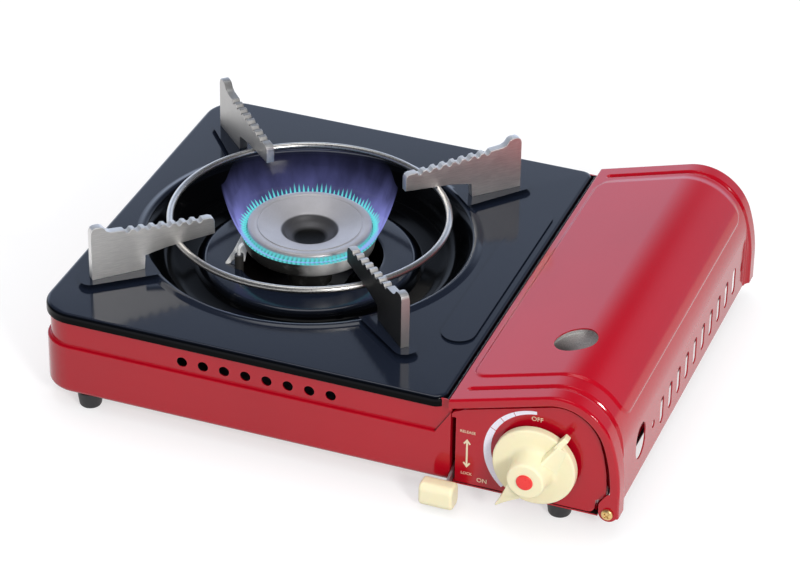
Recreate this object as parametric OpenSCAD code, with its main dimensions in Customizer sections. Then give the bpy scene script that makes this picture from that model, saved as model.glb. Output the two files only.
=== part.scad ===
// Portable single-burner gas stove that runs on a butane cartridge lying in a side bay.
// Lengths are in millimetres. The pieces are drawn in a frame whose X starts at the
// box's left side, whose Y starts at its front wall and whose Z starts at its floor,
// and place() then moves them so that the stove stands on the origin.

/* [Burner box] */
// Width of the top plate over the burner box
box_w = 244.4; // [240:0.2:262]
// Depth of the body from front wall to rear wall
body_d = 260.5; // [254:0.5:285]
// Height of the top plate's upper face above the floor of the body
plate_z = 53; // [51:0.5:60]
// Corner radius of the box and plate on the left side
corner_r = 20; // [12:1:28]
// Thickness of the painted steel sheet
sheet = 0.8; // [0.6:0.1:1.1]
// Height of the recessed band below the plate's lip
band_h = 16; // [14:1:20]
// How far the band is set back from the lower wall
band_recess = 2; // [1.4:0.1:2.6]
// Number of air holes in the front band
vent_count = 8; // [5:1:10]
// Diameter of an air hole
vent_d = 6.2; // [4:0.2:8]
// Distance from one air hole to the next
vent_pitch = 12.66; // [9:0.02:14]

/* [Feet] */
// Height of the rubber feet
foot_h = 10; // [9:0.5:14]
// Diameter of a foot at its top
foot_d = 15; // [12:0.5:18]

/* [Top plate] */
// Corner radius of the plate on the cartridge side
plate_corner_r = 7; // [4:0.5:10]
// Height of the plate's folded lip
lip_h = 6; // [4:0.5:7]
// Diameter of the well at its rim
well_d = 190.6; // [187:0.2:196]
// Depth of the well's lowest floor below the plate
well_depth = 18; // [16:0.5:20]
// Height of the raised seats under the fins
seat_h = 3; // [2:0.5:4]
// Length of a seat outwards from the well's rim
seat_len = 43; // [40:0.5:45]
// Width of a seat at the well's rim
seat_w = 24; // [18:0.5:28]
// Width of the long oval bead beside the well
bead_w = 18; // [14:0.5:20]
// Length of that bead
bead_len = 151; // [120:1:170]

/* [Pan support] */
// Centre radius of the wire ring
ring_r = 80.6; // [76:0.2:84]
// Diameter of the ring's wire
ring_wire = 4; // [3:0.2:5]
// Thickness of a fin
fin_t = 5; // [3:0.2:6]
// Height of a fin's outer tip above its seat
fin_h = 33.5; // [30:0.5:36]
// Radius at a fin's outer end
fin_out = 134; // [132:0.5:137]
// Radius at a fin's inner end
fin_in = 59.5; // [57:0.5:63]
// Number of waves along a fin's upper edge
fin_waves = 8; // [5:1:9]

/* [Burner] */
// Diameter of the burner cap
cap_d = 72.3; // [70:0.1:74]
// Diameter of the hole in the cap's middle
cap_hole_d = 33; // [28:0.5:36]
// How far the cap's ring slopes down to its hole
cap_dish = 4.5; // [0:0.5:5]
// Diameter of the burner's lower bowl
bowl_d = 78.6; // [77:0.2:80]
// Height of the burner cap's top above the plate
cap_rise = 8; // [6:0.5:10]
// Outer diameter of the gas mixing tube
tube_d = 15; // [13:0.5:15.5]

/* [Cartridge] */
// Diameter of the gas cartridge
can_d = 66; // [62:0.2:66.6]
// Room between the cartridge and the rear wall
rear_room = 23.5; // [20:0.5:34]
// How far the cartridge moves to leave its seat on the governor
can_travel = 7; // [5:0.1:7.6]

/* [Cover] */
// Angle at which the cover's top rises
cover_slope = 15.9; // [15:0.1:17]
// Length of the cover's sloping top
cover_top_l = 56.7; // [56:0.1:60]
// Radius of the cover's ridge
crest_r = 30; // [28:0.5:34]
// Radius of the cover's shoulder
shoulder_r = 34; // [32:0.5:38]
// Width of the cover's flared front and rear flanges
flange_w = 12; // [8:0.5:16]
// Height of the pressed panel on the cover
cover_rise = 0.8; // [0.4:0.1:1.2]
// Diameter of the round window over the cartridge's collar
window_d = 24; // [16:0.5:25]
// Number of slots in the cover's side
slot_count = 10; // [6:1:11]

/* [Knob] */
// Diameter of the knob's disc
knob_d = 47; // [44:0.5:50]
// Diameter of the knob's hub
hub_d = 21; // [16:0.5:22]
// Reach of the pointer from the knob's axis
pointer_l = 32.5; // [31:0.5:36]
// Diameter of the valve spindle
spindle_d = 6; // [5:0.2:7]

/* [Lever] */
// Angle through which the locking lever lifts
lever_lift = 42; // [36:0.5:42]
// Thickness of the lever's steel strip
lever_t = 1.5; // [1.2:0.1:1.8]
// Width of the lever's moulded tip
tip_w = 19.5; // [16:0.5:22]

/* [Hidden] */
$fn = 64;
eps = 0.01;
run_gap = 0.05;
loose_gap = 0.3;

// Burner box
well_x = 113.3;
well_y = body_d / 2;
well = [well_x, well_y];
band_z = plate_z - lip_h - band_h;
wall_top = plate_z - sheet;
lever_x = box_w + 5;
slot_w = 2.5;
wall_x1 = lever_x - slot_w / 2;
partition_x = box_w + 1;
wedge_x = wall_x1 - 9;
vent_z = plate_z - lip_h - band_h * 0.55;
vent_x = well_x + 20 - (vent_count - 1) * vent_pitch / 2;

foot_left = [28.3, 30];
foot_right = [24, 9];
foot_taper = 1;

// Cover profile, from its left edge over the ridge and shoulder down to its side
cover_x = box_w + 3.1;
cover_z = plate_z + 2;
cover_edge_h = 2.5;
cover_foot_z = 2.5;
crest_end = -30;
shoulder_end = -72;
flange_side_r = 100;
middle_side_r = 40;
cover_y0 = -3;
cover_y1 = body_d + 2.5;
flange_fold = 6;
panel_inset = 13;
panel_x = cover_x + 5.3;
cover_left = [cover_x, cover_z];
crest_p = cover_left + cover_top_l * [cos(cover_slope), sin(cover_slope)];
shoulder_p = arc_end(crest_p, crest_r, cover_slope, crest_end);
side_p = arc_end(shoulder_p, shoulder_r, crest_end, shoulder_end);
cover_side = arc_end(side_p, flange_side_r, shoulder_end, -90)[0];
middle_side = arc_end(side_p, middle_side_r, shoulder_end, -90)[0];
window = [cover_x + 51.8, 57];
slot_size = [4, 17];
slot_z = 18.5;
slot_y0 = 84;
slot_rear = 33.4;
slot_pitch = (body_d - slot_rear - slot_y0) / (slot_count - 1);
side_hole = [68, 19, 2.5];
oval_hole = [44, 23.5, 8.5, 11];

// Cover hinge
hinge_x = cover_side - 5.9;
hinge_z = 5;
hinge_pin_r = 1.9;
hinge_ear_r = 5.5;
hinge_head = [3.2, 2];
head_gap = 0.2;

// Bay
bay_floor_x1 = hinge_x - 6.5;
bay_lip = [8, 1.7];
bay_panel_y = 1;
bay_panel_gap = 0.8;
bay_tab_r = 4.5;
bay_cut_x = hinge_x - 4;
bay_corner = 4;
rear_panel_y = body_d - bay_panel_y - sheet;
rear_slot = [4, 22];
rear_slot_pitch = 10;

// Cartridge
can_r = can_d / 2;
can_x = middle_side - 36.4;
can_z = can_r + sheet + 0.6;
governor_y1 = 50;
collar_y = governor_y1 + 1;
collar = [16, 2];
cup = [12, 5];
stem_r = 2;
stem_in = 4;
dome_y = collar_y + collar[1] + cup[1];
can_y0 = dome_y + 14;
can_y1 = body_d - rear_room;
can_rim = [1.6, 1.2];
can_wall = 0.8;
rail_y = can_y0 + 18;
rail = [3, can_y1 - can_y0 - 65, 12];
rail_side = 0.62;
rail_gap = 0.4;

// Governor and gas way
knob_x = cover_x + 50.7;
knob_z = 27.2;
spindle_r = spindle_d / 2;
bracket_t = 1.2;
bracket_y = bay_panel_y + sheet;
bracket_size = [52, 40];
boss_r = 9;
block_y = [14, 42];
block_side = 14;
block_low = 11;
block_high = 17;
block_x = [knob_x - block_side, can_x + block_side];
block_z = [knob_z - block_low, knob_z + block_high];
inlet_hub_r = 15;
seal_r = 6;
seal_t = 2;
inlet_r = 2.6;
cap_disc = [13, 3];
cap_boss = [9, 10];
pipe_r = 2.5;
pipe_bend = 3.4;
tube_r = tube_d / 2;
tube_wall = 1;
tube_z = tube_r + sheet + 7.2;
tube_turn = -20;
tube_mouth_x = partition_x + 10;
tube_len = (tube_mouth_x - well_x) / cos(tube_turn);
tube_dir = [cos(tube_turn), sin(tube_turn), 0];
tube_mouth = [well_x, well_y, tube_z] + tube_len * tube_dir;
nozzle = [4, 4, 7];
air_port_r = 2.5;
pipe_low = sheet + pipe_r + 5.7;
pipe_end = [knob_x - 2, 36];
pipe_turn = [tube_mouth[0] + 9, 46];
pipe_run = 6;
pipe_path = [
    [pipe_end[0], pipe_end[1], block_z[0]],
    [pipe_end[0], pipe_end[1], pipe_low],
    [pipe_turn[0], pipe_turn[1], pipe_low],
    tube_mouth + (nozzle[2] + pipe_run) * tube_dir,
    tube_mouth + nozzle[2] * tube_dir
];

// Burner
cap_r = cap_d / 2;
bowl_r = bowl_d / 2;
cap_top = plate_z + cap_rise;
cap_t = 3;
slit_h = 1.6;
bowl_top = cap_top - cap_t - slit_h;
bowl_h = 11;
bowl_flank = [1.5, 8];
neck_r = 13;
neck_wall = 1.5;
neck_z0 = tube_z - tube_r - 1.5;
funnel_r = 7;
bridge = [22, 82, 1.2];
bridge_foot = 10;
tab = [12, 9, 1.2];
tab_turn = 196;
electrode_turn = 222;
port_count = 36;
port_w = 1.6;
electrode_at = well + (bowl_r + 4) * [cos(electrode_turn), sin(electrode_turn)];
insulator = [2.6, 16];
electrode_r = 1;
lead_r = 1.1;
lead_bend = 2;
lead_z = sheet + lead_r + 0.1;
lead_y = 66;
lead_bend_y = 44;
insulator_z = bowl_top - 24;
igniter_size = [10, 24, 12];
igniter_at = [block_x[1], block_y[0], knob_z + 2];
igniter_rod = [3, 8];
lead_x = igniter_at[0] + igniter_size[0] / 2;
lead_path = [
    [lead_x, block_y[0] + igniter_size[1], igniter_at[2] + 5],
    [lead_x, lead_bend_y, igniter_at[2] + 5],
    [lead_x, lead_bend_y, lead_z + 4],
    [lead_x, lead_bend_y + 2, lead_z],
    [tube_mouth[0] + 4, lead_y, lead_z],
    [partition_x - 8, lead_y, lead_z],
    [electrode_at[0], electrode_at[1], lead_z],
    [electrode_at[0], electrode_at[1], insulator_z]
];

// Top plate
well_r = well_d / 2;
well_floor = plate_z - well_depth;
inner_rim_r = 60;
inner_rim_rise = 4;
well_hole_r = bowl_r + 2.7;
seat_tip_w = seat_w * 0.6;
seat_in = well_r + 2.7;
seat_z = plate_z + seat_h;
bead_x = box_w - 16;
bead_line = 2;
bead_rise = 1;

// Pan support
ring_z = plate_z + 13;
support_gap = 0.1;
fin_z = seat_z + support_gap;
fin_foot_in = 102;
fin_under = [9, 13.3];
fin_top = [24, 28];
fin_peak = 8;
wave_h = 0.9;
fin_angles = [225, 315, 135, 45];

// Knob
knob_y = -2.8;
disc_t = 4.6;
hub_l = 14.4;
handle_h = 9;
handle_w = 8;
tail_l = knob_d / 2 + 5.5;
tail_w = 5;
nose = [5, 3.4];
pointer_turn = 232;
inlay = [4.65, 1];
spindle_in = 10;
spindle_y1 = 22;

// Lever, link and pusher
pivot = [45, 22];
pivot_r = 2.5;
pin_shoulder = 1.8;
lever_rest = lever_lift / 2;
arm_h = 5;
arm_l = 60;
lever_hub_r = 6;
crank_r = can_travel / (2 * sin(lever_rest));
crank_pin_r = 2;
crank_pin_l = 2.4;
crank_at = pivot + crank_r * [-sin(lever_rest), cos(lever_rest)];
crank_rise = crank_r * (1 - cos(lever_rest));
slot_margin = 0.15;
link_x = lever_x + lever_t / 2 + loose_gap;
link_t = 1.5;
link_h = 10;
link_z = crank_at[1] + crank_rise / 2;
link_y0 = crank_at[0] - 6;
pusher_y = can_y1 + loose_gap;
pusher_t = 1.5;
pusher_z = [8, 50];
pusher_x1 = can_x + 24;
guide_y = [100, 200];
guide_l = 8;
guide_wall = 1.2;
stay_x = lever_x + 5.4;
stay_t = 1;
stay = [16, 30];
stay_foot = 6;
tip_size = [12, 14.5];
tip_at = [-12, -0.25];
tip_corner = 2.5;
tip_x = lever_x - tip_w + 6.6;
front_slot = [1.3, 42.6];

// Extent of the stove, for the origin in the middle below it
x_max = cover_side;
y_min = knob_y - disc_t - hub_l - inlay[1];
y_max = cover_y1 + head_gap + hinge_head[1];

function arc_end(p, r, a, b) = [p[0] + r * (sin(a) - sin(b)), p[1] + r * (cos(b) - cos(a))];

// Points of an arc that starts at p and turns from heading a to heading b, moved out by o
function arc_run(p, r, a, b, o, n) = [
    for (i = [1:n])
        let (t = a + (b - a) * i / n)
            arc_end(p, r, a, t) + o * [-sin(t), cos(t)]
];

// The cover's outline moved out by o, with the given radius from shoulder to side
function cover_line(o, side_r) = concat(
    [cover_left + o * [-sin(cover_slope), cos(cover_slope)]],
    [crest_p + o * [-sin(cover_slope), cos(cover_slope)]],
    arc_run(crest_p, crest_r, cover_slope, crest_end, o, 8),
    arc_run(shoulder_p, shoulder_r, crest_end, shoulder_end, o, 8),
    arc_run(side_p, side_r, shoulder_end, -90, o, 5),
    [[arc_end(side_p, side_r, shoulder_end, -90)[0] + o, cover_foot_z]]
);

function reversed(list) = [for (i = [len(list) - 1:-1:0]) list[i]];

module place() {
    translate([-x_max / 2, -(y_min + y_max) / 2, foot_h]) children();
}

// A flat shape in X and Z, given thickness t backwards from y
module xz_plate(y, t) {
    translate([0, y + t, 0]) rotate([90, 0, 0]) linear_extrude(t) children();
}

// A flat shape in Y and Z, given thickness t to the right of x
module yz_plate(x, t) {
    translate([x, 0, 0]) rotate([90, 0, 90]) linear_extrude(t) children();
}

// A rod of radius r and length l that runs backwards from y
module y_rod(x, y, z, r, l) {
    translate([x, y, z]) rotate([-90, 0, 0]) cylinder(r = r, h = l);
}

// A rod of radius r and length l that runs to the right from x
module x_rod(x, y, z, r, l) {
    translate([x, y, z]) rotate([0, 90, 0]) cylinder(r = r, h = l);
}

// A path whose corners are rounded, each starting at the given distance from its corner
function round_path(path, cut, n) = [
    for (i = [0:len(path) - 1])
        let (p = path[i], inner = i > 0 && i < len(path) - 1)
            for (k = [0:inner ? n : 0])
                let (t = k / n, a = inner ? p + cut * unit(path[i - 1] - p) : p)
                    inner ? corner_point(a, p, p + cut * unit(path[i + 1] - p), t) : p
];

function corner_point(a, p, b, t) = (1 - t) * (1 - t) * a + 2 * t * (1 - t) * p + t * t * b;

function unit(v) = v / norm(v);

function heading(path, i) = unit(path[min(i + 1, len(path) - 1)] - path[max(i - 1, 0)]);

// Side directions along a path, each carried on from the one before
function sides_along(path, i, last) =
    let (h = heading(path, i), s = unit(last - (last * h) * h))
        i == len(path) - 1 ? [s] : concat([s], sides_along(path, i + 1, s));

// A tube of radius r along a path, as one skin of triangles
module bent_tube(path, r, sides) {
    side = sides_along(path, 0, [0.2, 0.9, 0.1]);
    count = len(path);
    points = [
        for (i = [0:count - 1])
            let (s = side[i], u = cross(heading(path, i), s))
                for (k = [0:sides - 1])
                    path[i] + r * (cos(360 * k / sides) * s + sin(360 * k / sides) * u)
    ];
    skin = [
        for (i = [0:count - 2], k = [0:sides - 1])
            let (a = i * sides + k, b = i * sides + (k + 1) % sides)
                for (f = [[a, a + sides, b + sides], [a, b + sides, b]]) f
    ];
    ends = [[for (k = [0:sides - 1]) k], [for (k = [1:sides]) count * sides - k]];
    polyhedron(points, concat(skin, ends));
}

// A rectangle from p with the given size and round corners
module round_rect(p, size, r) {
    translate(p + [r, 0]) square([size[0] - 2 * r, size[1]]);
    translate(p + [0, r]) square([size[0], size[1] - 2 * r]);
    for (x = [r, size[0] - r], y = [r, size[1] - r]) translate(p + [x, y]) circle(r);
}

// Plan of a tray whose left corners are round and whose right end is at x1
module tray_plan(inset, x1, left_r, right_r) {
    lr = max(left_r - inset, 1);
    rr = max(right_r, eps);
    y0 = inset;
    y1 = body_d - inset;
    translate([inset + lr, y0]) square([x1 - rr - inset - lr, y1 - y0]);
    translate([inset, y0 + lr]) square([lr, y1 - y0 - 2 * lr]);
    translate([x1 - rr, y0 + rr]) square([rr, y1 - y0 - 2 * rr]);
    for (y = [y0 + lr, y1 - lr]) translate([inset + lr, y]) circle(lr);
    if (right_r > 0) for (y = [y0 + rr, y1 - rr]) translate([x1 - rr, y]) circle(rr);
}

// Material of the front and rear walls where the band's end slants up to the lip
module band_end(y) {
    xz_plate(y, band_recess + sheet / 2)
        polygon([[wedge_x, band_z], [wall_x1, band_z], [wall_x1, band_z + band_h]]);
}

module body_shell() {
    color("firebrick") difference() {
        union() {
            linear_extrude(band_z) tray_plan(0, wall_x1, corner_r, 0);
            linear_extrude(wall_top) tray_plan(band_recess, wall_x1, corner_r, 0);
            band_end(0);
            band_end(body_d - band_recess - sheet / 2);
            translate([wall_x1 - 1, 0, 0]) cube([bay_floor_x1 - wall_x1 + 1, body_d, sheet]);
            translate([bay_floor_x1 - bay_lip[1] - sheet, bay_panel_y + 3, 0])
                cube([sheet, body_d - 2 * bay_panel_y - 6, bay_lip[0]]);
        }
        translate([0, 0, sheet]) linear_extrude(band_z - 2 * sheet)
            tray_plan(sheet, wall_x1 + eps, corner_r, 0);
        translate([0, 0, sheet]) linear_extrude(wall_top)
            tray_plan(band_recess + sheet, wall_x1 + eps, corner_r, 0);
        for (i = [0:vent_count - 1])
            y_rod(vent_x + i * vent_pitch, -1, vent_z, vent_d / 2, band_recess + 3);
    }
}

module seat_plan() {
    tip = seat_in + seat_len;
    polygon([
        [seat_in, -seat_w / 2], [tip - seat_tip_w / 2, -seat_tip_w / 2],
        [tip - seat_tip_w / 2, seat_tip_w / 2], [seat_in, seat_w / 2]
    ]);
    translate([tip - seat_tip_w / 2, 0]) circle(seat_tip_w / 2);
}

module stadium(w, l) {
    translate([-w / 2, -(l - w) / 2]) square([w, l - w]);
    for (s = [-1, 1]) translate([0, s * (l - w) / 2]) circle(w / 2);
}

// Section of the pressed well, from the plate's rim to the hole round the burner
module well_section() {
    top = [
        [well_r + 1, plate_z], [well_r - 2, plate_z - 1], [well_r - 9, well_floor + 6],
        [well_r - 14, well_floor + 1.5], [well_r - 20, well_floor], [inner_rim_r + 3, well_floor],
        [inner_rim_r, well_floor + inner_rim_rise], [well_hole_r, well_floor + inner_rim_rise]
    ];
    polygon(concat(top, reversed([for (p = top) p - [0, sheet]])));
}

module top_plate() {
    color("darkslategray") difference() {
        union() {
            difference() {
                translate([0, 0, plate_z - lip_h]) linear_extrude(lip_h)
                    tray_plan(0, box_w, corner_r, plate_corner_r);
                translate([0, 0, plate_z - lip_h - eps]) linear_extrude(lip_h - sheet + eps)
                    tray_plan(sheet, box_w - sheet, corner_r, plate_corner_r - sheet);
                translate([well_x, well_y, plate_z - sheet - 1]) cylinder(r = well_r, h = sheet + 2);
            }
            translate([well_x, well_y, 0]) rotate_extrude($fn = 128) well_section();
            for (a = fin_angles) translate([well_x, well_y, plate_z - eps]) rotate([0, 0, a])
                linear_extrude(seat_h + eps) seat_plan();
            translate([bead_x, well_y, plate_z - eps]) linear_extrude(bead_rise + eps) difference() {
                stadium(bead_w, bead_len);
                stadium(bead_w - 2 * bead_line, bead_len - 2 * bead_line);
            }
        }
        translate([electrode_at[0], electrode_at[1], 0]) cylinder(r = insulator[0] + 1.2, h = plate_z);
    }
}

module partition_wall() {
    y0 = band_recess + sheet + run_gap;
    color("lightgray") difference() {
        translate([partition_x, y0, sheet]) cube([sheet, body_d - 2 * y0, plate_z - sheet - 1]);
        translate([well_x, well_y, tube_z]) rotate([0, 90, tube_turn])
            cylinder(r = tube_r + 1, h = tube_len);
        x_rod(partition_x - 1, pivot[0], pivot[1], pivot_r, sheet + 2);
        x_rod(partition_x - 1, lead_y, lead_z, lead_r + 0.8, sheet + 2);
    }
}

// What is cut from an end panel's lower corner, round the tab that holds the hinge screw
module bay_corner_cut() {
    difference() {
        translate([bay_cut_x, 0]) square([cover_side, hinge_z + bay_tab_r]);
        translate([hinge_x, hinge_z]) circle(bay_tab_r);
        translate([bay_cut_x - 1, hinge_z - bay_tab_r]) square([hinge_x - bay_cut_x + 1, 2 * bay_tab_r]);
        translate([hinge_x - 1, hinge_z]) square([bay_tab_r + 1, bay_tab_r + 1]);
    }
}

// Outline of the bay's end panels, which stand inside the cover
module bay_end_plan() {
    line = cover_line(-sheet - bay_panel_gap, flange_side_r);
    corner_z = cover_z - cover_edge_h - 1;
    difference() {
        polygon(concat(
            [for (p = line) if (p[0] > wall_x1 + bay_corner) p],
            [[line[len(line) - 1][0], sheet], [wall_x1 + run_gap, sheet]],
            [[wall_x1 + run_gap, corner_z], [wall_x1 + bay_corner, corner_z]],
            [[wall_x1 + bay_corner, line[0][1] + (wall_x1 + bay_corner - line[0][0]) * tan(cover_slope)]]
        ));
        bay_corner_cut();
    }
}

module bay_front_panel() {
    color("firebrick") difference() {
        xz_plate(bay_panel_y, sheet) bay_end_plan();
        y_rod(knob_x, bay_panel_y - 1, knob_z, spindle_r + 1, sheet + 2);
        y_rod(hinge_x, bay_panel_y - 1, hinge_z, hinge_pin_r, sheet + 2);
        translate([wall_x1 - 1, bay_panel_y - 1, front_slot[0]])
            cube([slot_w + 1, sheet + 2, front_slot[1] - front_slot[0]]);
    }
}

module bay_rear_panel() {
    color("firebrick") difference() {
        xz_plate(rear_panel_y, sheet) bay_end_plan();
        y_rod(hinge_x, rear_panel_y - 1, hinge_z, hinge_pin_r, sheet + 2);
        for (i = [-2:2])
            translate([can_x + i * rear_slot_pitch - rear_slot[0] / 2, 0, can_z - rear_slot[1] / 2])
                xz_plate(rear_panel_y - 1, sheet + 2) round_rect([0, 0], rear_slot, rear_slot[0] / 2 - eps);
    }
}

module rubber_feet() {
    right = bay_floor_x1 - foot_right[0];
    spots = [
        foot_left, [right, foot_right[1]],
        [foot_left[0], body_d - foot_left[1]], [right, body_d - foot_right[1]]
    ];
    color("black") for (p = spots) translate([p[0], p[1], -foot_h])
        cylinder(r1 = foot_d / 2 - foot_taper, r2 = foot_d / 2, h = foot_h);
}

module cradle_rails() {
    rail_r = can_r + rail_gap;
    color("silver") for (s = [-1, 1]) difference() {
        translate([can_x + s * can_r * rail_side - rail[0] / 2, rail_y, sheet]) cube(rail);
        y_rod(can_x, rail_y - 1, can_z, rail_r, rail[1] + 2);
    }
}

// A pan-head screw whose shank runs inwards by the given reach
module hinge_screw(reach) {
    y_rod(0, -head_gap, 0, hinge_pin_r, reach + head_gap + 1.5);
    difference() {
        y_rod(0, -head_gap - hinge_head[1], 0, hinge_head[0], hinge_head[1]);
        for (a = [45, 135]) rotate([0, a, 0]) translate([-2, -head_gap - hinge_head[1] - eps, -0.4])
            cube([4, 0.9, 0.8]);
    }
}

module hinge_screws() {
    color("goldenrod") {
        translate([hinge_x, cover_y0, hinge_z]) hinge_screw(bay_panel_y + sheet - cover_y0);
        translate([hinge_x, cover_y1, hinge_z]) mirror([0, 1, 0]) hinge_screw(cover_y1 - rear_panel_y);
    }
}

// Section of the burner's bowl: a neck, a wide rim and a shelf that carries the cap
module bowl_section() {
    floor_z = bowl_top - bowl_h;
    shelf_z = bowl_top - 3.4;
    wall = neck_wall;
    polygon([
        [0, neck_z0], [neck_r, neck_z0], [neck_r, floor_z - 2], [bowl_r - 4, floor_z + 1],
        [bowl_r - bowl_flank[0], bowl_top - bowl_flank[1]], [bowl_r, bowl_top], [bowl_r - wall, bowl_top],
        [bowl_r - wall, shelf_z], [cap_r - 3, shelf_z], [cap_r - 3, shelf_z - wall],
        [bowl_r - wall - 2, shelf_z - wall], [bowl_r - wall - 2, floor_z + 2 + wall],
        [bowl_r - 5, floor_z + 1 + wall], [neck_r - wall, floor_z - 2 + wall],
        [neck_r - wall, neck_z0 + wall], [0, neck_z0 + wall]
    ]);
}

module burner_bowl() {
    color("gainsboro") translate([well_x, well_y, 0]) difference() {
        rotate_extrude($fn = 96) bowl_section();
        translate([0, 0, tube_z]) rotate([0, 90, tube_turn])
            cylinder(r = tube_r - tube_wall, h = neck_r + 5);
    }
}

// Section of the cap: a top ring with a groove, a skirt and a dished middle
module cap_section() {
    skirt_z = bowl_top - 3.4;
    hole_r = cap_hole_d / 2;
    under = cap_top - cap_t;
    rim_z = cap_top - cap_dish;
    groove = [cap_r - 6, cap_r - 4.5];
    polygon([
        [0, cap_top - 10.5], [funnel_r, cap_top - 10], [hole_r - 1.5, rim_z - 2.5], [hole_r, rim_z],
        [groove[0], cap_top], [groove[0], cap_top - 0.6], [groove[1], cap_top - 0.6],
        [groove[1], cap_top], [cap_r - 1, cap_top], [cap_r, cap_top - 1], [cap_r, skirt_z],
        [cap_r - 1.6, skirt_z], [cap_r - 1.6, under], [groove[0], under], [hole_r + 0.5, rim_z - 2.2],
        [hole_r - 2, rim_z - 3.4], [funnel_r - 0.5, cap_top - 11.2], [0, cap_top - 11.7]
    ]);
}

module burner_cap() {
    color("darkgray") translate([well_x, well_y, 0]) difference() {
        rotate_extrude($fn = 96) cap_section();
        for (i = [0:port_count - 1]) rotate([0, 0, (i + 0.5) * 360 / port_count])
            translate([cap_r - 3, -port_w / 2, bowl_top + 0.2]) cube([5, port_w, slit_h - 0.4]);
    }
}

module mixing_tube() {
    color("silver") difference() {
        translate([well_x, well_y, tube_z]) rotate([0, 90, tube_turn]) difference() {
            cylinder(r = tube_r, h = tube_len);
            translate([0, 0, -1]) cylinder(r = tube_r - tube_wall, h = tube_len + 2);
            translate([0, 0, tube_len - 24]) rotate([0, -90, 0]) cylinder(r = air_port_r, h = tube_r + 1);
        }
        translate([well_x, well_y, tube_z - tube_r - 1]) cylinder(r = neck_r, h = 2 * tube_r + 2, $fn = 96);
    }
}

// A strip under the burner's neck that stands on the floor of the box
module burner_bridge() {
    half = bridge[1] / 2;
    t = bridge[2];
    top = neck_z0;
    color("silver") translate([well_x - bridge[0] / 2, well_y, 0]) {
        translate([0, -half, top - t]) cube([bridge[0], bridge[1], t]);
        for (s = [-1, 1]) {
            translate([0, s * (half - t / 2) - t / 2, sheet]) cube([bridge[0], t, top - sheet]);
            translate([0, s * (half + bridge_foot / 2 - t / 2) - bridge_foot / 2, sheet])
                cube([bridge[0], bridge_foot, t]);
        }
    }
}

// A sloping strip beside the burner's rim that the spark jumps to
module ignition_tab() {
    top = bowl_top - 2.6;
    reach = tab[0];
    color("whitesmoke") translate([well_x, well_y, 0]) rotate([0, 0, tab_turn]) difference() {
        translate([0, tab[1] / 2, 0]) rotate([90, 0, 0]) linear_extrude(tab[1]) polygon([
            [bowl_r - 1, top], [bowl_r + 1.5, top], [bowl_r + reach, top - reach],
            [bowl_r + reach, top - reach - tab[2]], [bowl_r + 1, top - tab[2]], [bowl_r - 1, top - tab[2]]
        ]);
        translate([0, 0, bowl_top - bowl_flank[1]])
            cylinder(r1 = bowl_r - bowl_flank[0], r2 = bowl_r, h = bowl_flank[1], $fn = 96);
        translate([bowl_r + reach, tab[1] / 2 - 2.6, 0]) cylinder(r = 2.4, h = plate_z);
    }
}

module electrode_insulator() {
    color("white") translate([electrode_at[0], electrode_at[1], insulator_z])
        cylinder(r = insulator[0], h = insulator[1]);
}

module electrode_rod() {
    foot = [electrode_at[0], electrode_at[1], insulator_z + insulator[1]];
    inward = [cos(electrode_turn + 180), sin(electrode_turn + 180), 0];
    tip = foot + [0, 0, 7] + 2.5 * inward;
    color("silver") bent_tube(round_path([foot, foot + [0, 0, 5], tip], 1.5, 4), electrode_r, 12);
}

module ignition_lead() {
    color("dimgray") bent_tube(round_path(lead_path, lead_bend, 5), lead_r, 8);
}

module igniter_unit() {
    color("black") translate(igniter_at) {
        cube(igniter_size);
        translate([igniter_size[0] / 2, 0, igniter_size[2] / 2]) rotate([90, 0, 0])
            cylinder(r = igniter_rod[0], h = igniter_rod[1]);
    }
}

module gas_nozzle() {
    color("goldenrod") translate(tube_mouth) rotate([0, 90, tube_turn]) difference() {
        union() {
            translate([0, 0, -nozzle[1]]) cylinder(r = nozzle[0], h = nozzle[1] + nozzle[2]);
            cylinder(r = tube_r, h = 1.5);
        }
        translate([0, 0, -nozzle[1] - 1]) cylinder(r = 0.6, h = nozzle[1] + nozzle[2] - 3);
    }
}

module gas_pipe() {
    color("peru") bent_tube(round_path(pipe_path, pipe_bend, 6), pipe_r, 12);
}

module governor_block() {
    color("silver") difference() {
        union() {
            translate([block_x[0], block_y[0], block_z[0]])
                cube([block_x[1] - block_x[0], block_y[1] - block_y[0], block_z[1] - block_z[0]]);
            y_rod(knob_x, bracket_y + bracket_t, knob_z, boss_r, block_y[0] - bracket_y - bracket_t + 1);
            y_rod(can_x, block_y[1] - 1, can_z, inlet_hub_r, governor_y1 - block_y[1] + 1);
        }
        y_rod(knob_x, 0, knob_z, spindle_r + run_gap, spindle_y1 + 1);
        y_rod(can_x, block_y[1] - 2, can_z, inlet_r, governor_y1);
        y_rod(can_x, governor_y1 - seal_t, can_z, seal_r, seal_t + 1);
    }
}

module governor_cap() {
    mid = [(block_y[0] + block_y[1]) / 2, (block_z[0] + block_z[1]) / 2];
    color("silver") {
        x_rod(block_x[0] - cap_boss[1], mid[0], mid[1], cap_boss[0], cap_boss[1]);
        x_rod(block_x[0] - cap_disc[1], mid[0], mid[1], cap_disc[0], cap_disc[1]);
    }
}

module governor_plate() {
    color("silver") difference() {
        translate([(knob_x + can_x - bracket_size[0]) / 2, 0, knob_z + 3 - bracket_size[1] / 2])
            xz_plate(bracket_y, bracket_t) round_rect([0, 0], bracket_size, 4);
        y_rod(knob_x, 0, knob_z, spindle_r + 1, bracket_y + bracket_t + 1);
    }
}

module inlet_seal() {
    color("black") difference() {
        y_rod(can_x, governor_y1 - seal_t, can_z, seal_r, seal_t);
        y_rod(can_x, governor_y1 - seal_t - 1, can_z, stem_r + run_gap, seal_t + 2);
    }
}

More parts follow.
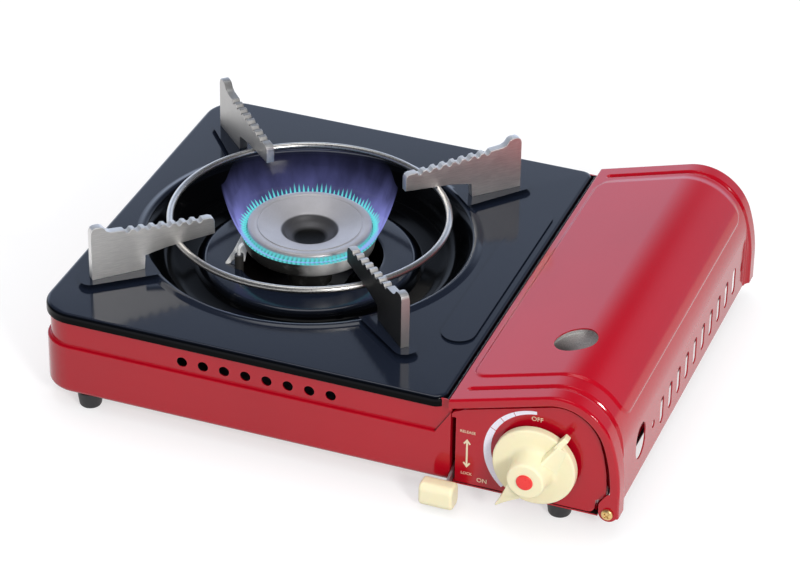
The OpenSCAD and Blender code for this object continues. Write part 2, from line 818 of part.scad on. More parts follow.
module lever_stay() {
    color("silver") {
        difference() {
            translate([0, pivot[0] - stay[0] / 2, sheet]) yz_plate(stay_x, stay_t) square(stay);
            x_rod(stay_x - 1, pivot[0], pivot[1], pivot_r, stay_t + 2);
        }
        translate([stay_x + stay_t, pivot[0] - stay[0] / 2, sheet]) cube([stay_foot, stay[0], stay_t]);
    }
}

module lever_pin() {
    color("silver") {
        x_rod(partition_x, pivot[0], pivot[1], pivot_r, stay_x + stay_t - partition_x);
        x_rod(partition_x + sheet, pivot[0], pivot[1], pivot_r + 1, pin_shoulder);
    }
}

module link_guides() {
    h = link_h + 2 * (loose_gap + guide_wall);
    x1 = link_x + link_t + loose_gap + guide_wall;
    color("silver") for (y = guide_y) difference() {
        translate([partition_x + sheet, y, link_z - h / 2]) cube([x1 - partition_x - sheet, guide_l, h]);
        translate([link_x - loose_gap, y - 1, link_z - link_h / 2 - loose_gap])
            cube([link_t + 2 * loose_gap, guide_l + 2, link_h + 2 * loose_gap]);
    }
}

module can_section() {
    w = can_wall;
    outer = [
        [cup[0], dome_y], [cup[0] + 8, dome_y + 2.5], [can_r - 6, dome_y + 6.5], [can_r - 1.5, can_y0 - 3],
        [can_r, can_y0], [can_r, can_y1 - can_rim[1]], [can_r - can_rim[0] / 2, can_y1],
        [can_r - can_rim[0] * 2, can_y1], [can_r - 5, can_y1 - 4], [0, can_y1 - 7]
    ];
    inner = [
        [0, can_y1 - 7 - w], [can_r - 5 - w, can_y1 - 4 - w], [can_r - w, can_y1 - 4 - w],
        [can_r - w, can_y0 + w / 2], [can_r - 1.5 - w, can_y0 - 3 + w], [can_r - 6 - w, dome_y + 6.5 + w],
        [cup[0] + 8 - w, dome_y + 2.5 + w], [cup[0], dome_y + w * 2], [cup[0] - 2, dome_y + w],
        [cup[0] - 2, dome_y]
    ];
    polygon(concat(outer, inner));
}

module cartridge_can() {
    color("orangered") translate([can_x, 0, can_z]) rotate([-90, 0, 0])
        rotate_extrude($fn = 96) can_section();
}

module cartridge_collar() {
    color("silver") difference() {
        union() {
            y_rod(can_x, collar_y, can_z, collar[0], collar[1]);
            y_rod(can_x, collar_y + collar[1], can_z, cup[0], cup[1]);
        }
        y_rod(can_x, collar_y - 1, can_z, stem_r, collar[1] + cup[1] + 2);
        translate([can_x - 2, collar_y - 1, can_z + collar[0] - 3]) cube([4, collar[1] + 2, 6]);
    }
}

module cartridge_stem() {
    color("white") difference() {
        y_rod(can_x, collar_y - stem_in, can_z, stem_r, stem_in + collar[1] + cup[1]);
        y_rod(can_x, collar_y - stem_in - 1, can_z, stem_r / 2, stem_in + collar[1]);
    }
}

module pusher_plate() {
    color("silver") xz_plate(pusher_y, pusher_t) difference() {
        round_rect([link_x, pusher_z[0]], [pusher_x1 - link_x, pusher_z[1] - pusher_z[0]], 5);
        translate([can_x, can_z]) circle(9);
    }
}

module pusher_link() {
    half = crank_pin_r + slot_margin;
    rise = crank_rise / 2;
    color("silver") yz_plate(link_x, link_t) difference() {
        translate([link_y0, link_z - link_h / 2]) square([pusher_y - link_y0, link_h]);
        translate([crank_at[0] - half, link_z - half - rise]) square([2 * half, 2 * (half + rise)]);
    }
}

// The lever's strip, seen from the side: hub, arm to the front and crank for the link
module lever_plan() {
    translate(pivot) rotate(lever_rest) {
        circle(lever_hub_r);
        translate([-arm_l, -arm_h / 2]) square([arm_l, arm_h]);
        translate([-crank_pin_r - 1, 0]) square([2 * crank_pin_r + 2, crank_r]);
        translate([0, crank_r]) circle(crank_pin_r + 1);
    }
}

module lever_arm() {
    x0 = lever_x - lever_t / 2;
    color("silver") difference() {
        union() {
            yz_plate(x0, lever_t) lever_plan();
            x_rod(x0, crank_at[0], crank_at[1], crank_pin_r, lever_t + crank_pin_l);
        }
        x_rod(x0 - 1, pivot[0], pivot[1], pivot_r + run_gap, lever_t + 2);
    }
}

module lever_tip() {
    corner = tip_at - tip_size / 2;
    color("lemonchiffon") difference() {
        translate([tip_x, 0, 0]) yz_plate(0, tip_w) round_rect(corner, tip_size, tip_corner);
        yz_plate(lever_x - lever_t / 2, lever_t) lever_plan();
    }
}

module control_knob() {
    front = knob_y - disc_t;
    color("lemonchiffon") translate([knob_x, 0, knob_z]) difference() {
        union() {
            y_rod(0, front, 0, knob_d / 2, disc_t);
            y_rod(0, front - hub_l, 0, hub_d / 2, hub_l);
            xz_plate(front - handle_h, handle_h) rotate(pointer_turn) polygon([
                [3 - knob_d / 2, -tail_w / 2], [0, -handle_w / 2], [pointer_l - nose[0], -nose[1]],
                [pointer_l, 0], [pointer_l - nose[0], nose[1]], [0, handle_w / 2],
                [3 - knob_d / 2, tail_w / 2]
            ]);
            xz_plate(front, disc_t) rotate(pointer_turn) translate([-tail_l, -tail_w / 2])
                square([tail_l, tail_w]);
        }
        y_rod(0, knob_y - spindle_in, 0, spindle_r, spindle_in + 1);
    }
}

module knob_inlay() {
    color("tomato") y_rod(knob_x, knob_y - disc_t - hub_l - inlay[1], knob_z, inlay[0], inlay[1]);
}

module valve_spindle() {
    length = spindle_y1 - knob_y + spindle_in;
    color("goldenrod") y_rod(knob_x, knob_y - spindle_in, knob_z, spindle_r, length);
}

// Sheet between two offsets of the cover's outline
module cover_sheet_plan(outer, inner, outer_r, inner_r) {
    polygon(concat(cover_line(outer, outer_r), reversed(cover_line(inner, inner_r))));
}

// Folded edge that closes the front or rear end of the cover, with its hinge ear
module cover_end(y) {
    difference() {
        xz_plate(y, sheet) {
            cover_sheet_plan(0, -flange_fold, flange_side_r, flange_side_r);
            translate([hinge_x, hinge_z]) circle(hinge_ear_r);
            translate([cover_x, cover_z - cover_edge_h]) square([sheet, cover_edge_h]);
        }
        y_rod(hinge_x, y - 1, hinge_z, hinge_pin_r + run_gap, sheet + 2);
    }
}

module cover_skin() {
    middle = [cover_y0 + flange_w, cover_y1 - flange_w];
    panel = [middle[0] + panel_inset, middle[1] - panel_inset];
    for (y = [cover_y0, middle[1]]) xz_plate(y, flange_w)
        cover_sheet_plan(0, -sheet, flange_side_r, flange_side_r);
    for (y = [middle[0] - sheet, middle[1]]) xz_plate(y, sheet)
        cover_sheet_plan(0, -sheet, flange_side_r, middle_side_r);
    xz_plate(middle[0] - sheet, middle[1] - middle[0] + 2 * sheet)
        cover_sheet_plan(0, -sheet, middle_side_r, middle_side_r);
    xz_plate(panel[0], panel[1] - panel[0]) intersection() {
        cover_sheet_plan(cover_rise, -eps, middle_side_r, middle_side_r);
        translate([panel_x, cover_foot_z + 6]) square([cover_side, cover_side]);
    }
    xz_plate(cover_y0, cover_y1 - cover_y0) translate([cover_x, cover_z - cover_edge_h])
        square([sheet, cover_edge_h]);
}

module cartridge_cover() {
    reach = 8;
    color("firebrick") difference() {
        union() {
            cover_skin();
            cover_end(cover_y0);
            cover_end(cover_y1 - sheet);
        }
        translate([window[0], window[1], plate_z]) cylinder(r = window_d / 2, h = plate_z);
        for (i = [0:slot_count - 1])
            translate([0, slot_y0 + i * slot_pitch - slot_size[0] / 2, slot_z - slot_size[1] / 2])
                yz_plate(middle_side - reach / 2, reach)
                    round_rect([0, 0], slot_size, slot_size[0] / 2 - eps);
        x_rod(middle_side - reach / 2, side_hole[0], side_hole[1], side_hole[2], reach);
        translate([0, oval_hole[0] - oval_hole[2], oval_hole[1] - oval_hole[3]])
            yz_plate(middle_side - reach / 2, reach)
                round_rect([0, 0], 2 * [oval_hole[2], oval_hole[3]], oval_hole[2] - eps);
    }
}

module ring_wire_at_well(r) {
    translate([well_x, well_y, ring_z]) rotate_extrude($fn = 128) translate([ring_r, 0]) circle(r, $fn = 32);
}

module support_ring() {
    color("silver") ring_wire_at_well(ring_wire / 2);
}

// A fin's outline in radius and height: foot, rising arm with a wavy edge, outer tip
module fin_plan() {
    top_in = [fin_in + 6, seat_z + fin_top[0]];
    top_out = [fin_out - 19, seat_z + fin_top[1]];
    steps = fin_waves * 6;
    waves = [
        for (i = [0:steps])
            let (t = i / steps)
                top_in + t * (top_out - top_in) + [0, -wave_h * (1 - cos(360 * fin_waves * t)) / 2]
    ];
    polygon(concat(
        [[fin_foot_in, fin_z], [fin_foot_in, seat_z + fin_under[0]], [fin_in, seat_z + fin_under[1]]],
        [[fin_in, top_in[1] - 4], [fin_in + 1, top_in[1] - 1.5], [fin_in + 3.5, top_in[1]]],
        waves,
        [[fin_out - fin_peak - 1.5, top_out[1] + 1.5], [fin_out - fin_peak, seat_z + fin_h - 1]],
        [[fin_out - fin_peak + 1.5, seat_z + fin_h], [fin_out - 2.5, seat_z + fin_h]],
        [[fin_out, seat_z + fin_h - 4], [fin_out, fin_z]]
    ));
}

module fin(angle) {
    color("silver") difference() {
        translate([well_x, well_y, 0]) rotate([0, 0, angle]) translate([0, fin_t / 2, 0]) rotate([90, 0, 0])
            linear_extrude(fin_t) fin_plan();
        ring_wire_at_well(ring_wire / 2);
    }
}

module fin_front_left() { fin(fin_angles[0]); }
module fin_front_right() { fin(fin_angles[1]); }
module fin_back_left() { fin(fin_angles[2]); }
module fin_back_right() { fin(fin_angles[3]); }

place() {
    body_shell();
    top_plate();
    partition_wall();
    bay_front_panel();
    bay_rear_panel();
    rubber_feet();
    cradle_rails();
    hinge_screws();
    burner_cap();
    burner_bowl();
    mixing_tube();
    burner_bridge();
    ignition_tab();
    electrode_insulator();
    electrode_rod();
    ignition_lead();
    igniter_unit();
    gas_nozzle();
    gas_pipe();
    governor_block();
    governor_cap();
    governor_plate();
    inlet_seal();
    lever_stay();
    lever_pin();
    link_guides();
    cartridge_can();
    cartridge_collar();
    cartridge_stem();
    pusher_plate();
    pusher_link();
    lever_arm();
    lever_tip();
    control_knob();
    knob_inlay();
    valve_spindle();
    cartridge_cover();
    support_ring();
    fin_front_left();
    fin_front_right();
    fin_back_left();
    fin_back_right();
}
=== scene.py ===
"""A portable gas stove on a pale floor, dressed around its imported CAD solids."""

from math import atan2, cos, degrees, hypot, pi, radians, sin

import bmesh
import bpy
from mathutils import Matrix, Vector


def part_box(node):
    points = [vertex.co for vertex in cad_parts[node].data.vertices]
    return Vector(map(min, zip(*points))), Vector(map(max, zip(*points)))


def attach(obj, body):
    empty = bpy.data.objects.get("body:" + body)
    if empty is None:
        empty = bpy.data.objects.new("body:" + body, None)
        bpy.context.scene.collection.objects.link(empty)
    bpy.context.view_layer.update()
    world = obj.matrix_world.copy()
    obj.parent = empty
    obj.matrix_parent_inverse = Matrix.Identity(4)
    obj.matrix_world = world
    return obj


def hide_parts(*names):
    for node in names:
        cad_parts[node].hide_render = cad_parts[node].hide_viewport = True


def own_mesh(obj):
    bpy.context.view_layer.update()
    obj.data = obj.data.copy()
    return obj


bl_info = {
    "name": "Portable gas stove",
    "version": (1, 0, 0),
    "blender": (4, 5, 0),
    "location": "3D View > Sidebar > Stove",
    "description": "Builds a red cartridge stove with a black top plate and its flame",
    "category": "Object",
}

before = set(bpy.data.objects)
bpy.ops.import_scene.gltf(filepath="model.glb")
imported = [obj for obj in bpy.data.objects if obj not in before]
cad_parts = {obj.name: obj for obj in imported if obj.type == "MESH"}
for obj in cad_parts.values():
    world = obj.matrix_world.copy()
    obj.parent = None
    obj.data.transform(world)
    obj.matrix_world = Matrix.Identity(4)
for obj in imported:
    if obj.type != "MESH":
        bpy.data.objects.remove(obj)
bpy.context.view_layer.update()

# The pieces are drawn in millimetres from the plate's left edge, its front edge and the
# floor of the box, and STOVE moves them into the frame of the CAD model.
PLATE_LOW, PLATE_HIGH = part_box("top_plate")
SHELL_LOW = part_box("body_shell")[0]
MM = 0.001
STOVE = Matrix.Translation((PLATE_LOW.x, PLATE_LOW.y, SHELL_LOW.z)) @ Matrix.Scale(MM, 4)
INTO_STOVE = STOVE.inverted()


def stove_box(node):
    """A CAD node's lowest and highest corners in the stove's millimetres."""
    low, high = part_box(node)
    return INTO_STOVE @ low, INTO_STOVE @ high


BOX_WIDTH = stove_box("top_plate")[1].x
BODY_DEPTH = stove_box("top_plate")[1].y
PLATE_TOP = 53.0
LIP_FOOT = 47.0
CORNER_RADIUS = 20.0
SUNK = 0.02
ORIGIN = Vector((0, 0, 0))
WELL = Vector((113.3, BODY_DEPTH / 2, 0))
WALL_END = stove_box("body_shell")[0].x + 248.15
HINGE = Vector((339.58, 0, 5))
KNOB = Vector((298.2, 0, 27.2))
KNOB_FRONT = -7.4
CAN = Vector((306.143, 0, 34.4))
CAMERA_AZIMUTH, CAMERA_ELEVATION, CAMERA_ROLL = 20.36, 32.44, 0.9
CAMERA_PLACE = Vector((747.0, -1425.8, 1082.2))
CAMERA_LENS = 153.04
# Painted light: how bright each fin's steel is made for the light it catches, and how dark the side that
# mirrors the plate is painted.
FIN_PAINTED_LIGHT = {
    "front_left": (1.35, 1.0),
    "front_right": (1.0, 0.16),
    "back_left": (0.9, 1.0),
    "back_right": (1.6, 1.0),
}
FIN_ANGLES = {"front_left": 225, "front_right": 315, "back_left": 135, "back_right": 45}


def measure(label, description, value):
    """A length property with its default, in mm."""
    return bpy.props.FloatProperty(name=label, description=description + ", in mm", default=value)


class StoveSizes(bpy.types.PropertyGroup):
    """Sizes in millimetres that a user would change."""

    sheet: bpy.props.FloatProperty(
        name="Sheet", description="Thickness of the painted steel, in mm", default=0.8, min=0.5, max=1.2
    )
    lip_radius: measure("Lip radius", "Rounding of the top plate's folded edge", 2.2)
    vents: bpy.props.IntProperty(name="Air holes", description="Air holes in the front band", default=8)
    vent_width: measure("Air hole", "Diameter of an air hole", 6.2)
    panel_rise: measure("Panel rise", "Height of the cover's pressed panel", 0.8)
    groove_depth: measure("Groove depth", "Depth of the cover's two cross grooves", 1.3)
    window_width: measure("Window", "Diameter of the round window in the cover", 24.0)
    fin_thickness: measure("Fin thickness", "Thickness of a pan fin", 5.0)
    fin_waves: bpy.props.IntProperty(name="Fin waves", description="Waves on a fin's upper edge", default=8)
    wire: measure("Wire", "Diameter of the ring's wire", 4.0)
    flame_height: measure("Flame height", "Height of the flame's veil over the cap", 32.0)
    jets: bpy.props.IntProperty(name="Jets", description="Small flames round the burner", default=92)


def colour(label, description, value):
    """A colour property with its default, in linear light."""
    return bpy.props.FloatVectorProperty(
        name=label, description=description, subtype="COLOR", size=3, min=0, max=1, default=value
    )


class StoveColours(bpy.types.PropertyGroup):
    """Colours in linear light."""

    paint: colour("Paint", "Red gloss paint of the box and the cover", (0.44, 0.0015, 0.012))
    enamel: colour("Enamel", "Black enamel of the top plate", (0.009, 0.0125, 0.023))
    steel: colour("Fin steel", "Brushed steel of the fins", (0.62, 0.61, 0.60))
    wire: colour("Wire", "Bright wire of the ring", (0.72, 0.70, 0.67))
    cap: colour("Burner cap", "Cast metal of the burner's cap", (0.60, 0.58, 0.59))
    bowl: colour("Burner bowl", "Pressed steel of the burner's bowl", (0.80, 0.79, 0.77))
    cream: colour("Cream plastic", "Knob and lever tip", (0.93, 0.85, 0.57))
    dot: colour("Dot", "Red dot on the knob", (0.86, 0.035, 0.03))
    print: colour("Print", "Cream print on the front", (0.86, 0.74, 0.52))
    scale: colour("Scale", "Pale crescent beside the knob", (0.90, 0.86, 0.97))
    flame: colour("Flame", "Cyan root of the flame", (0.16, 0.80, 0.84))
    veil: colour("Veil", "Blue veil over the burner", (0.30, 0.32, 0.85))


# ---------------------------------------------------------------- mesh tools


def sharp_edges(bm, angle=25.0):
    """The edges between two faces that meet at more than the given angle."""
    return [e for e in bm.edges if len(e.link_faces) == 2 and degrees(e.calc_face_angle(0)) > angle]


def soften(bm, edges, width, segments=3):
    """Rounds edges by the given width."""
    if edges:
        bmesh.ops.bevel(
            bm,
            geom=list(edges),
            offset=width,
            offset_type="OFFSET",
            segments=segments,
            profile=0.5,
            affect="EDGES",
            clamp_overlap=True,
            material=-1,
        )


def face_of(bm, corners):
    """One face through a few corners."""
    return bm.faces.new([bm.verts.new(c) for c in corners])


def as_mesh(bm, name):
    """Turns a mesh in the making into mesh data."""
    mesh = bpy.data.meshes.new(name)
    bm.to_mesh(mesh)
    bm.free()
    return mesh


def in_scene(name, data):
    """A new object of the scene."""
    made = bpy.data.objects.new(name, data)
    bpy.context.scene.collection.objects.link(made)
    return made


def merge(bm, part, matrix=None):
    """Moves a part into a mesh, at the given place."""
    if matrix is not None:
        part.transform(matrix)
    mesh = as_mesh(part, "part")
    bm.from_mesh(mesh)
    bpy.data.meshes.remove(mesh)


def flat_corners(low, high):
    """The four corners of the flat rectangle between two corners that share one coordinate."""
    shared = min(range(3), key=lambda k: abs(high[k] - low[k]))
    u, v = [k for k in range(3) if k != shared]
    corners = []
    for a, b in ((low[u], low[v]), (high[u], low[v]), (high[u], high[v]), (low[u], high[v])):
        corner = list(low)
        corner[u], corner[v] = a, b
        corners.append(corner)
    return corners


def rectangle(bm, low, high, radius=0.0):
    """A flat rectangle, with rounded corners if a radius is given."""
    corners = flat_corners(low, high)
    made = face_of(bm, corners)
    if radius:
        round_corners(bm, [(corners[i], radius) for i in (0, 3, 1, 2)])
    return made


def round_corners(bm, rounding):
    """Rounds corners of a flat face. rounding holds pairs of a corner and its radius."""
    for corner, radius in rounding:
        found = [v for v in bm.verts if (v.co - Vector(corner)).length < 0.01]
        bmesh.ops.bevel(
            bm,
            geom=found,
            offset=radius,
            offset_type="OFFSET",
            segments=10,
            profile=0.5,
            affect="VERTICES",
            clamp_overlap=True,
            material=-1,
        )


def pull(bm, faces, offset):
    """Extrudes faces by an offset and gives the new end faces. Only a lone face stays as the other end."""
    joined = [f for f in faces if any(len(e.link_faces) > 1 for e in f.edges)]
    made = bmesh.ops.extrude_face_region(bm, geom=faces, use_keep_orig=False)["geom"]
    bmesh.ops.delete(bm, geom=[f for f in joined if f.is_valid], context="FACES_ONLY")
    moved = [g for g in made if isinstance(g, bmesh.types.BMVert)]
    bmesh.ops.translate(bm, verts=moved, vec=Vector(offset))
    return [g for g in made if isinstance(g, bmesh.types.BMFace)]


def step_in(bm, faces, thickness, offset):
    """Insets faces as one region and moves what is left of them by an offset."""
    bmesh.ops.inset_region(bm, faces=faces, thickness=thickness, depth=0, use_even_offset=True)
    bmesh.ops.translate(bm, verts=list({v for f in faces for v in f.verts}), vec=offset)


def chain(bm, points):
    """A row of edges through the given points."""
    verts = [bm.verts.new(p) for p in points]
    edges = [bm.edges.new(pair) for pair in zip(verts, verts[1:])]
    return verts + edges


def lathe(bm, section, centre, steps=96, closed=True):
    """Spins a section of (radius, height) pairs round the upright axis through centre."""
    points = [centre + Vector((r, 0, z)) for r, z in section]
    if closed:
        points.append(points[0])
    bmesh.ops.spin(
        bm,
        geom=chain(bm, points),
        cent=centre,
        axis=(0, 0, 1),
        angle=2 * pi,
        steps=steps,
        use_merge=True,
        use_duplicate=False,
    )
    bmesh.ops.remove_doubles(bm, verts=bm.verts, dist=0.001)


def disc(bm, radius, matrix, segments=48):
    """A round face."""
    made = bmesh.ops.create_circle(
        bm, cap_ends=True, cap_tris=False, segments=segments, radius=radius, matrix=matrix
    )
    return [f for f in made["verts"][0].link_faces]


FACING_FRONT = Matrix.Rotation(radians(90), 4, "X")


def front_disc(bm, x, y, z, radius, segments=48):
    """A round face that looks to the front."""
    return disc(bm, radius, Matrix.Translation((x, y, z)) @ FACING_FRONT, segments)


def cleaned(bm, distance=0.0005):
    bmesh.ops.remove_doubles(bm, verts=bm.verts, dist=distance)
    bmesh.ops.recalc_face_normals(bm, faces=bm.faces)


def finished(name, bm, look, body, replaces=(), crease=32.0, clean=True, even=True):
    """Moves a mesh into the CAD frame and makes it a piece that rides on a body."""
    if clean:
        cleaned(bm)
    bm.transform(STOVE)
    mesh = as_mesh(bm, name)
    mesh.shade_smooth()
    mesh.set_sharp_from_angle(angle=radians(crease))
    for each in look if isinstance(look, (list, tuple)) else [look]:
        mesh.materials.append(each)
    piece = in_scene(name, mesh)
    if even:
        weights = piece.modifiers.new("even shading", "WEIGHTED_NORMAL")
        weights.keep_sharp = True
    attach(piece, body)
    if replaces:
        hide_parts(*replaces)
    return piece


def cut(bm, cutters):
    """Cuts closed shapes out of a mesh and gives the new mesh."""
    base = in_scene("cut base", as_mesh(bm, "cut base"))
    tool = in_scene("cut tool", as_mesh(cutters, "cut tool"))
    cutting = base.modifiers.new("cut", "BOOLEAN")
    cutting.operation = "DIFFERENCE"
    cutting.solver = "EXACT"
    cutting.object = tool
    bpy.context.view_layer.update()
    shape = base.evaluated_get(bpy.context.evaluated_depsgraph_get()).to_mesh()
    result = bmesh.new()
    result.from_mesh(shape)
    for made in (base, tool):
        mesh = made.data
        bpy.data.objects.remove(made)
        bpy.data.meshes.remove(mesh)
    return result


# ---------------------------------------------------------------- materials


def feed(tree, node, inputs):
    """Links sockets to a node's inputs, or sets them to plain values."""
    for key, value in inputs.items():
        if isinstance(value, bpy.types.NodeSocket):
            tree.links.new(value, node.inputs[key])
        else:
            node.inputs[key].default_value = value


def add(tree, kind, inputs=None, **settings):
    """Adds a node, with values or links for its inputs."""
    made = tree.nodes.new(kind)
    for key, value in settings.items():
        setattr(made, key, value)
    feed(tree, made, inputs or {})
    return made


def maths(tree, operation, a, b=0.0, clamp=False):
    return add(tree, "ShaderNodeMath", {0: a, 1: b}, operation=operation, use_clamp=clamp).outputs[0]


def remap(tree, value, low, high, to_low=0.0, to_high=1.0):
    return add(
        tree,
        "ShaderNodeMapRange",
        {"Value": value, "From Min": low, "From Max": high, "To Min": to_low, "To Max": to_high},
    ).outputs["Result"]


def blend_colour(tree, factor, a, b):
    return add(tree, "ShaderNodeMix", {0: factor, 6: a, 7: b}, data_type="RGBA").outputs[2]


def noise(tree, place, scale, detail=4.0):
    return add(
        tree, "ShaderNodeTexNoise", {"Vector": place, "Scale": scale, "Detail": detail}
    ).outputs["Fac"]


def object_place(tree):
    return add(tree, "ShaderNodeTexCoord").outputs["Object"]


def upward(tree, vector):
    """The upright part of a vector."""
    return add(tree, "ShaderNodeSeparateXYZ", {0: vector}).outputs[2]


def alike(tree, a, b):
    """How far two directions are the same, from -1 to 1."""
    return add(tree, "ShaderNodeVectorMath", {0: a, 1: b}, operation="DOT_PRODUCT").outputs["Value"]


def opaque(values):
    return (*values, 1.0)


def shaded(tint, share):
    """A tint made darker or lighter, as an opaque colour."""
    return opaque(c * share for c in tint[:3])


def from_well(tree, place):
    """A place as seen from the middle of the well, in the plane of the plate."""
    centre = STOVE @ WELL
    moved = add(
        tree, "ShaderNodeMapping", {"Vector": place, "Location": (-centre.x, -centre.y, 0.0)}
    ).outputs[0]
    return add(
        tree, "ShaderNodeVectorMath", {0: moved, 1: (1.0, 1.0, 0.0)}, operation="MULTIPLY"
    ).outputs[0]


def reach_from_well(tree, place):
    return add(
        tree, "ShaderNodeVectorMath", {0: from_well(tree, place)}, operation="LENGTH"
    ).outputs["Value"]


def turn_round_well(tree, place):
    """The direction of a place from the middle of the well, as a share of a turn."""
    flat = from_well(tree, place)
    return add(tree, "ShaderNodeTexGradient", {"Vector": flat}, gradient_type="RADIAL").outputs["Fac"]


def group_start(name, inputs, outputs):
    """A new node group of plain numbers, with defaults for its inputs and names for its outputs."""
    tree = bpy.data.node_groups.new(name, "ShaderNodeTree")
    for label, value in inputs.items():
        socket = tree.interface.new_socket(label, in_out="INPUT", socket_type="NodeSocketFloat")
        socket.default_value = value
    for label in outputs:
        tree.interface.new_socket(label, in_out="OUTPUT", socket_type="NodeSocketFloat")
    return tree, tree.nodes.new("NodeGroupInput"), tree.nodes.new("NodeGroupOutput")


def edge_wear_group(name):
    """A mask of the edges, broken up by noise."""
    tree, start, end = group_start(name, {"Radius": 0.0006, "Breakup": 0.5}, ["Mask"])
    place = object_place(tree)
    rounded = add(tree, "ShaderNodeBevel", {"Radius": start.outputs["Radius"]}, samples=4)
    flat = add(tree, "ShaderNodeNewGeometry").outputs["Normal"]
    edge = remap(tree, alike(tree, rounded.outputs[0], flat), 0.985, 0.86)
    broken = remap(tree, noise(tree, place, 260.0, 5.0), 0.35, 0.65)
    kept = maths(tree, "MULTIPLY", broken, start.outputs["Breakup"])
    kept = maths(tree, "ADD", kept, maths(tree, "SUBTRACT", 1.0, start.outputs["Breakup"]))
    feed(tree, end, {"Mask": maths(tree, "MULTIPLY", edge, kept, clamp=True)})
    return tree


def smudge_group(name):
    """Uneven gloss: wide smears and fine specks as a value round zero, and a bump height."""
    tree, start, end = group_start(name, {"Size": 22.0, "Amount": 0.05}, ["Change", "Height"])
    place = object_place(tree)
    wide = noise(tree, place, start.outputs["Size"], 6.0)
    specks = remap(tree, noise(tree, place, 900.0, 2.0), 0.62, 0.78)
    change = maths(tree, "SUBTRACT", wide, 0.5)
    change = maths(tree, "ADD", change, maths(tree, "MULTIPLY", specks, 0.35))
    feed(tree, end, {"Change": maths(tree, "MULTIPLY", change, start.outputs["Amount"])})
    peel = noise(tree, place, 330.0, 2.0)
    feed(tree, end, {"Height": maths(tree, "ADD", peel, maths(tree, "MULTIPLY", specks, 0.1))})
    return tree


def grain_group(name):
    """Fine lines of brushed metal along one direction, from a stretched noise."""
    tree, start, end = group_start(name, {"Turn": 0.0, "Stretch": 30.0}, ["Lines", "Patches"])
    place = object_place(tree)
    turned = add(
        tree,
        "ShaderNodeVectorRotate",
        {"Vector": place, "Angle": start.outputs["Turn"]},
        rotation_type="Z_AXIS",
    )
    parts = add(tree, "ShaderNodeSeparateXYZ", {0: turned.outputs[0]})
    along = maths(tree, "DIVIDE", parts.outputs[0], start.outputs["Stretch"])
    narrow = add(tree, "ShaderNodeCombineXYZ", {0: along, 1: parts.outputs[1], 2: parts.outputs[2]})
    feed(tree, end, {"Lines": noise(tree, narrow.outputs[0], 2600.0, 3.0)})
    feed(tree, end, {"Patches": noise(tree, place, 120.0, 5.0)})
    return tree


GROUPS = {"Edge wear": edge_wear_group, "Smudges": smudge_group, "Brushed grain": grain_group}


def group_node(tree, name, inputs):
    """A node of a shared group, which is built when it is first asked for."""
    group = bpy.data.node_groups.get(name) or GROUPS[name](name)
    return add(tree, "ShaderNodeGroup", inputs, node_tree=group)


def made_once(build):
    """Gives the look that was made before under the same name."""

    def found(name, *values, **settings):
        return bpy.data.materials.get(name) or build(name, *values, **settings)

    return found


def material(name):
    """A new material with a Principled shader, as (material, tree, shader)."""
    made = bpy.data.materials.new(name)
    made.use_nodes = True
    tree = made.node_tree
    return made, tree, tree.nodes["Principled BSDF"]


def bump(tree, shader, height, distance, strength=1.0):
    made = add(tree, "ShaderNodeBump", {"Height": height, "Distance": distance, "Strength": strength})
    feed(tree, shader, {"Normal": made.outputs[0]})


@made_once
def gloss_paint(name):
    """Thick red gloss paint with slightly uneven gloss, and darker paint worn on edges."""
    made, tree, shader = material(name)
    paint = opaque(bpy.context.scene.stove_colours.paint)
    smudges = group_node(tree, "Smudges", {"Size": 26.0, "Amount": 0.09})
    wear = group_node(tree, "Edge wear", {"Radius": 0.0007, "Breakup": 0.6})
    place = object_place(tree)
    cloud = remap(tree, noise(tree, place, 9.0, 3.0), 0.3, 0.7)
    deep = shaded(paint, 0.88)
    body = blend_colour(tree, cloud, deep, paint)
    edge = blend_colour(tree, maths(tree, "MULTIPLY", wear.outputs[0], 0.35), body, (0.62, 0.06, 0.07, 1.0))
    feed(tree, shader, {
        "Base Color": edge,
        "Roughness": maths(tree, "ADD", smudges.outputs["Change"], 0.11, clamp=True),
        "IOR": 1.46,
    })
    bump(tree, shader, smudges.outputs["Height"], 0.000012, 0.5)
    return made


@made_once
def black_enamel(name):
    """Glossy black enamel with faint dust and a slight orange peel, and painted shade in the well's trench
    and on all steep sides.
    """
    made, tree, shader = material(name)
    enamel = opaque(bpy.context.scene.stove_colours.enamel)
    smudges = group_node(tree, "Smudges", {"Size": 14.0, "Amount": 0.07})
    wear = group_node(tree, "Edge wear", {"Radius": 0.0006, "Breakup": 0.7})
    worn = blend_colour(
        tree, maths(tree, "MULTIPLY", wear.outputs[0], 0.2), enamel, (0.05, 0.055, 0.065, 1.0)
    )
    feed(tree, shader, {
        "Roughness": maths(tree, "ADD", smudges.outputs["Change"], 0.12, clamp=True),
        "IOR": 1.5,
    })
    # Painted shade: the trench of the well and all steep sides are painted near black with little gloss, in
    # place of the dark things they mirror.
    place = object_place(tree)
    height = upward(tree, place)
    top = (STOVE @ Vector((0, 0, PLATE_TOP))).z
    low = remap(tree, height, top - 0.0012, top - 0.0030)
    outer = remap(tree, reach_from_well(tree, place), 0.0605, 0.0635)
    facing = upward(tree, add(tree, "ShaderNodeNewGeometry").outputs["Normal"])
    steep_painted_shade = remap(tree, maths(tree, "ABSOLUTE", facing), 0.92, 0.7, 0.0, 0.9)
    shade = maths(tree, "MAXIMUM", maths(tree, "MULTIPLY", low, outer), steep_painted_shade)
    feed(tree, shader, {
        "Base Color": blend_colour(tree, shade, worn, (0.0008, 0.0009, 0.0012, 1.0)),
        "Specular IOR Level": remap(tree, shade, 0.0, 1.0, 0.5, 0.06),
    })
    bump(tree, shader, smudges.outputs["Height"], 0.00001, 0.4)
    return made


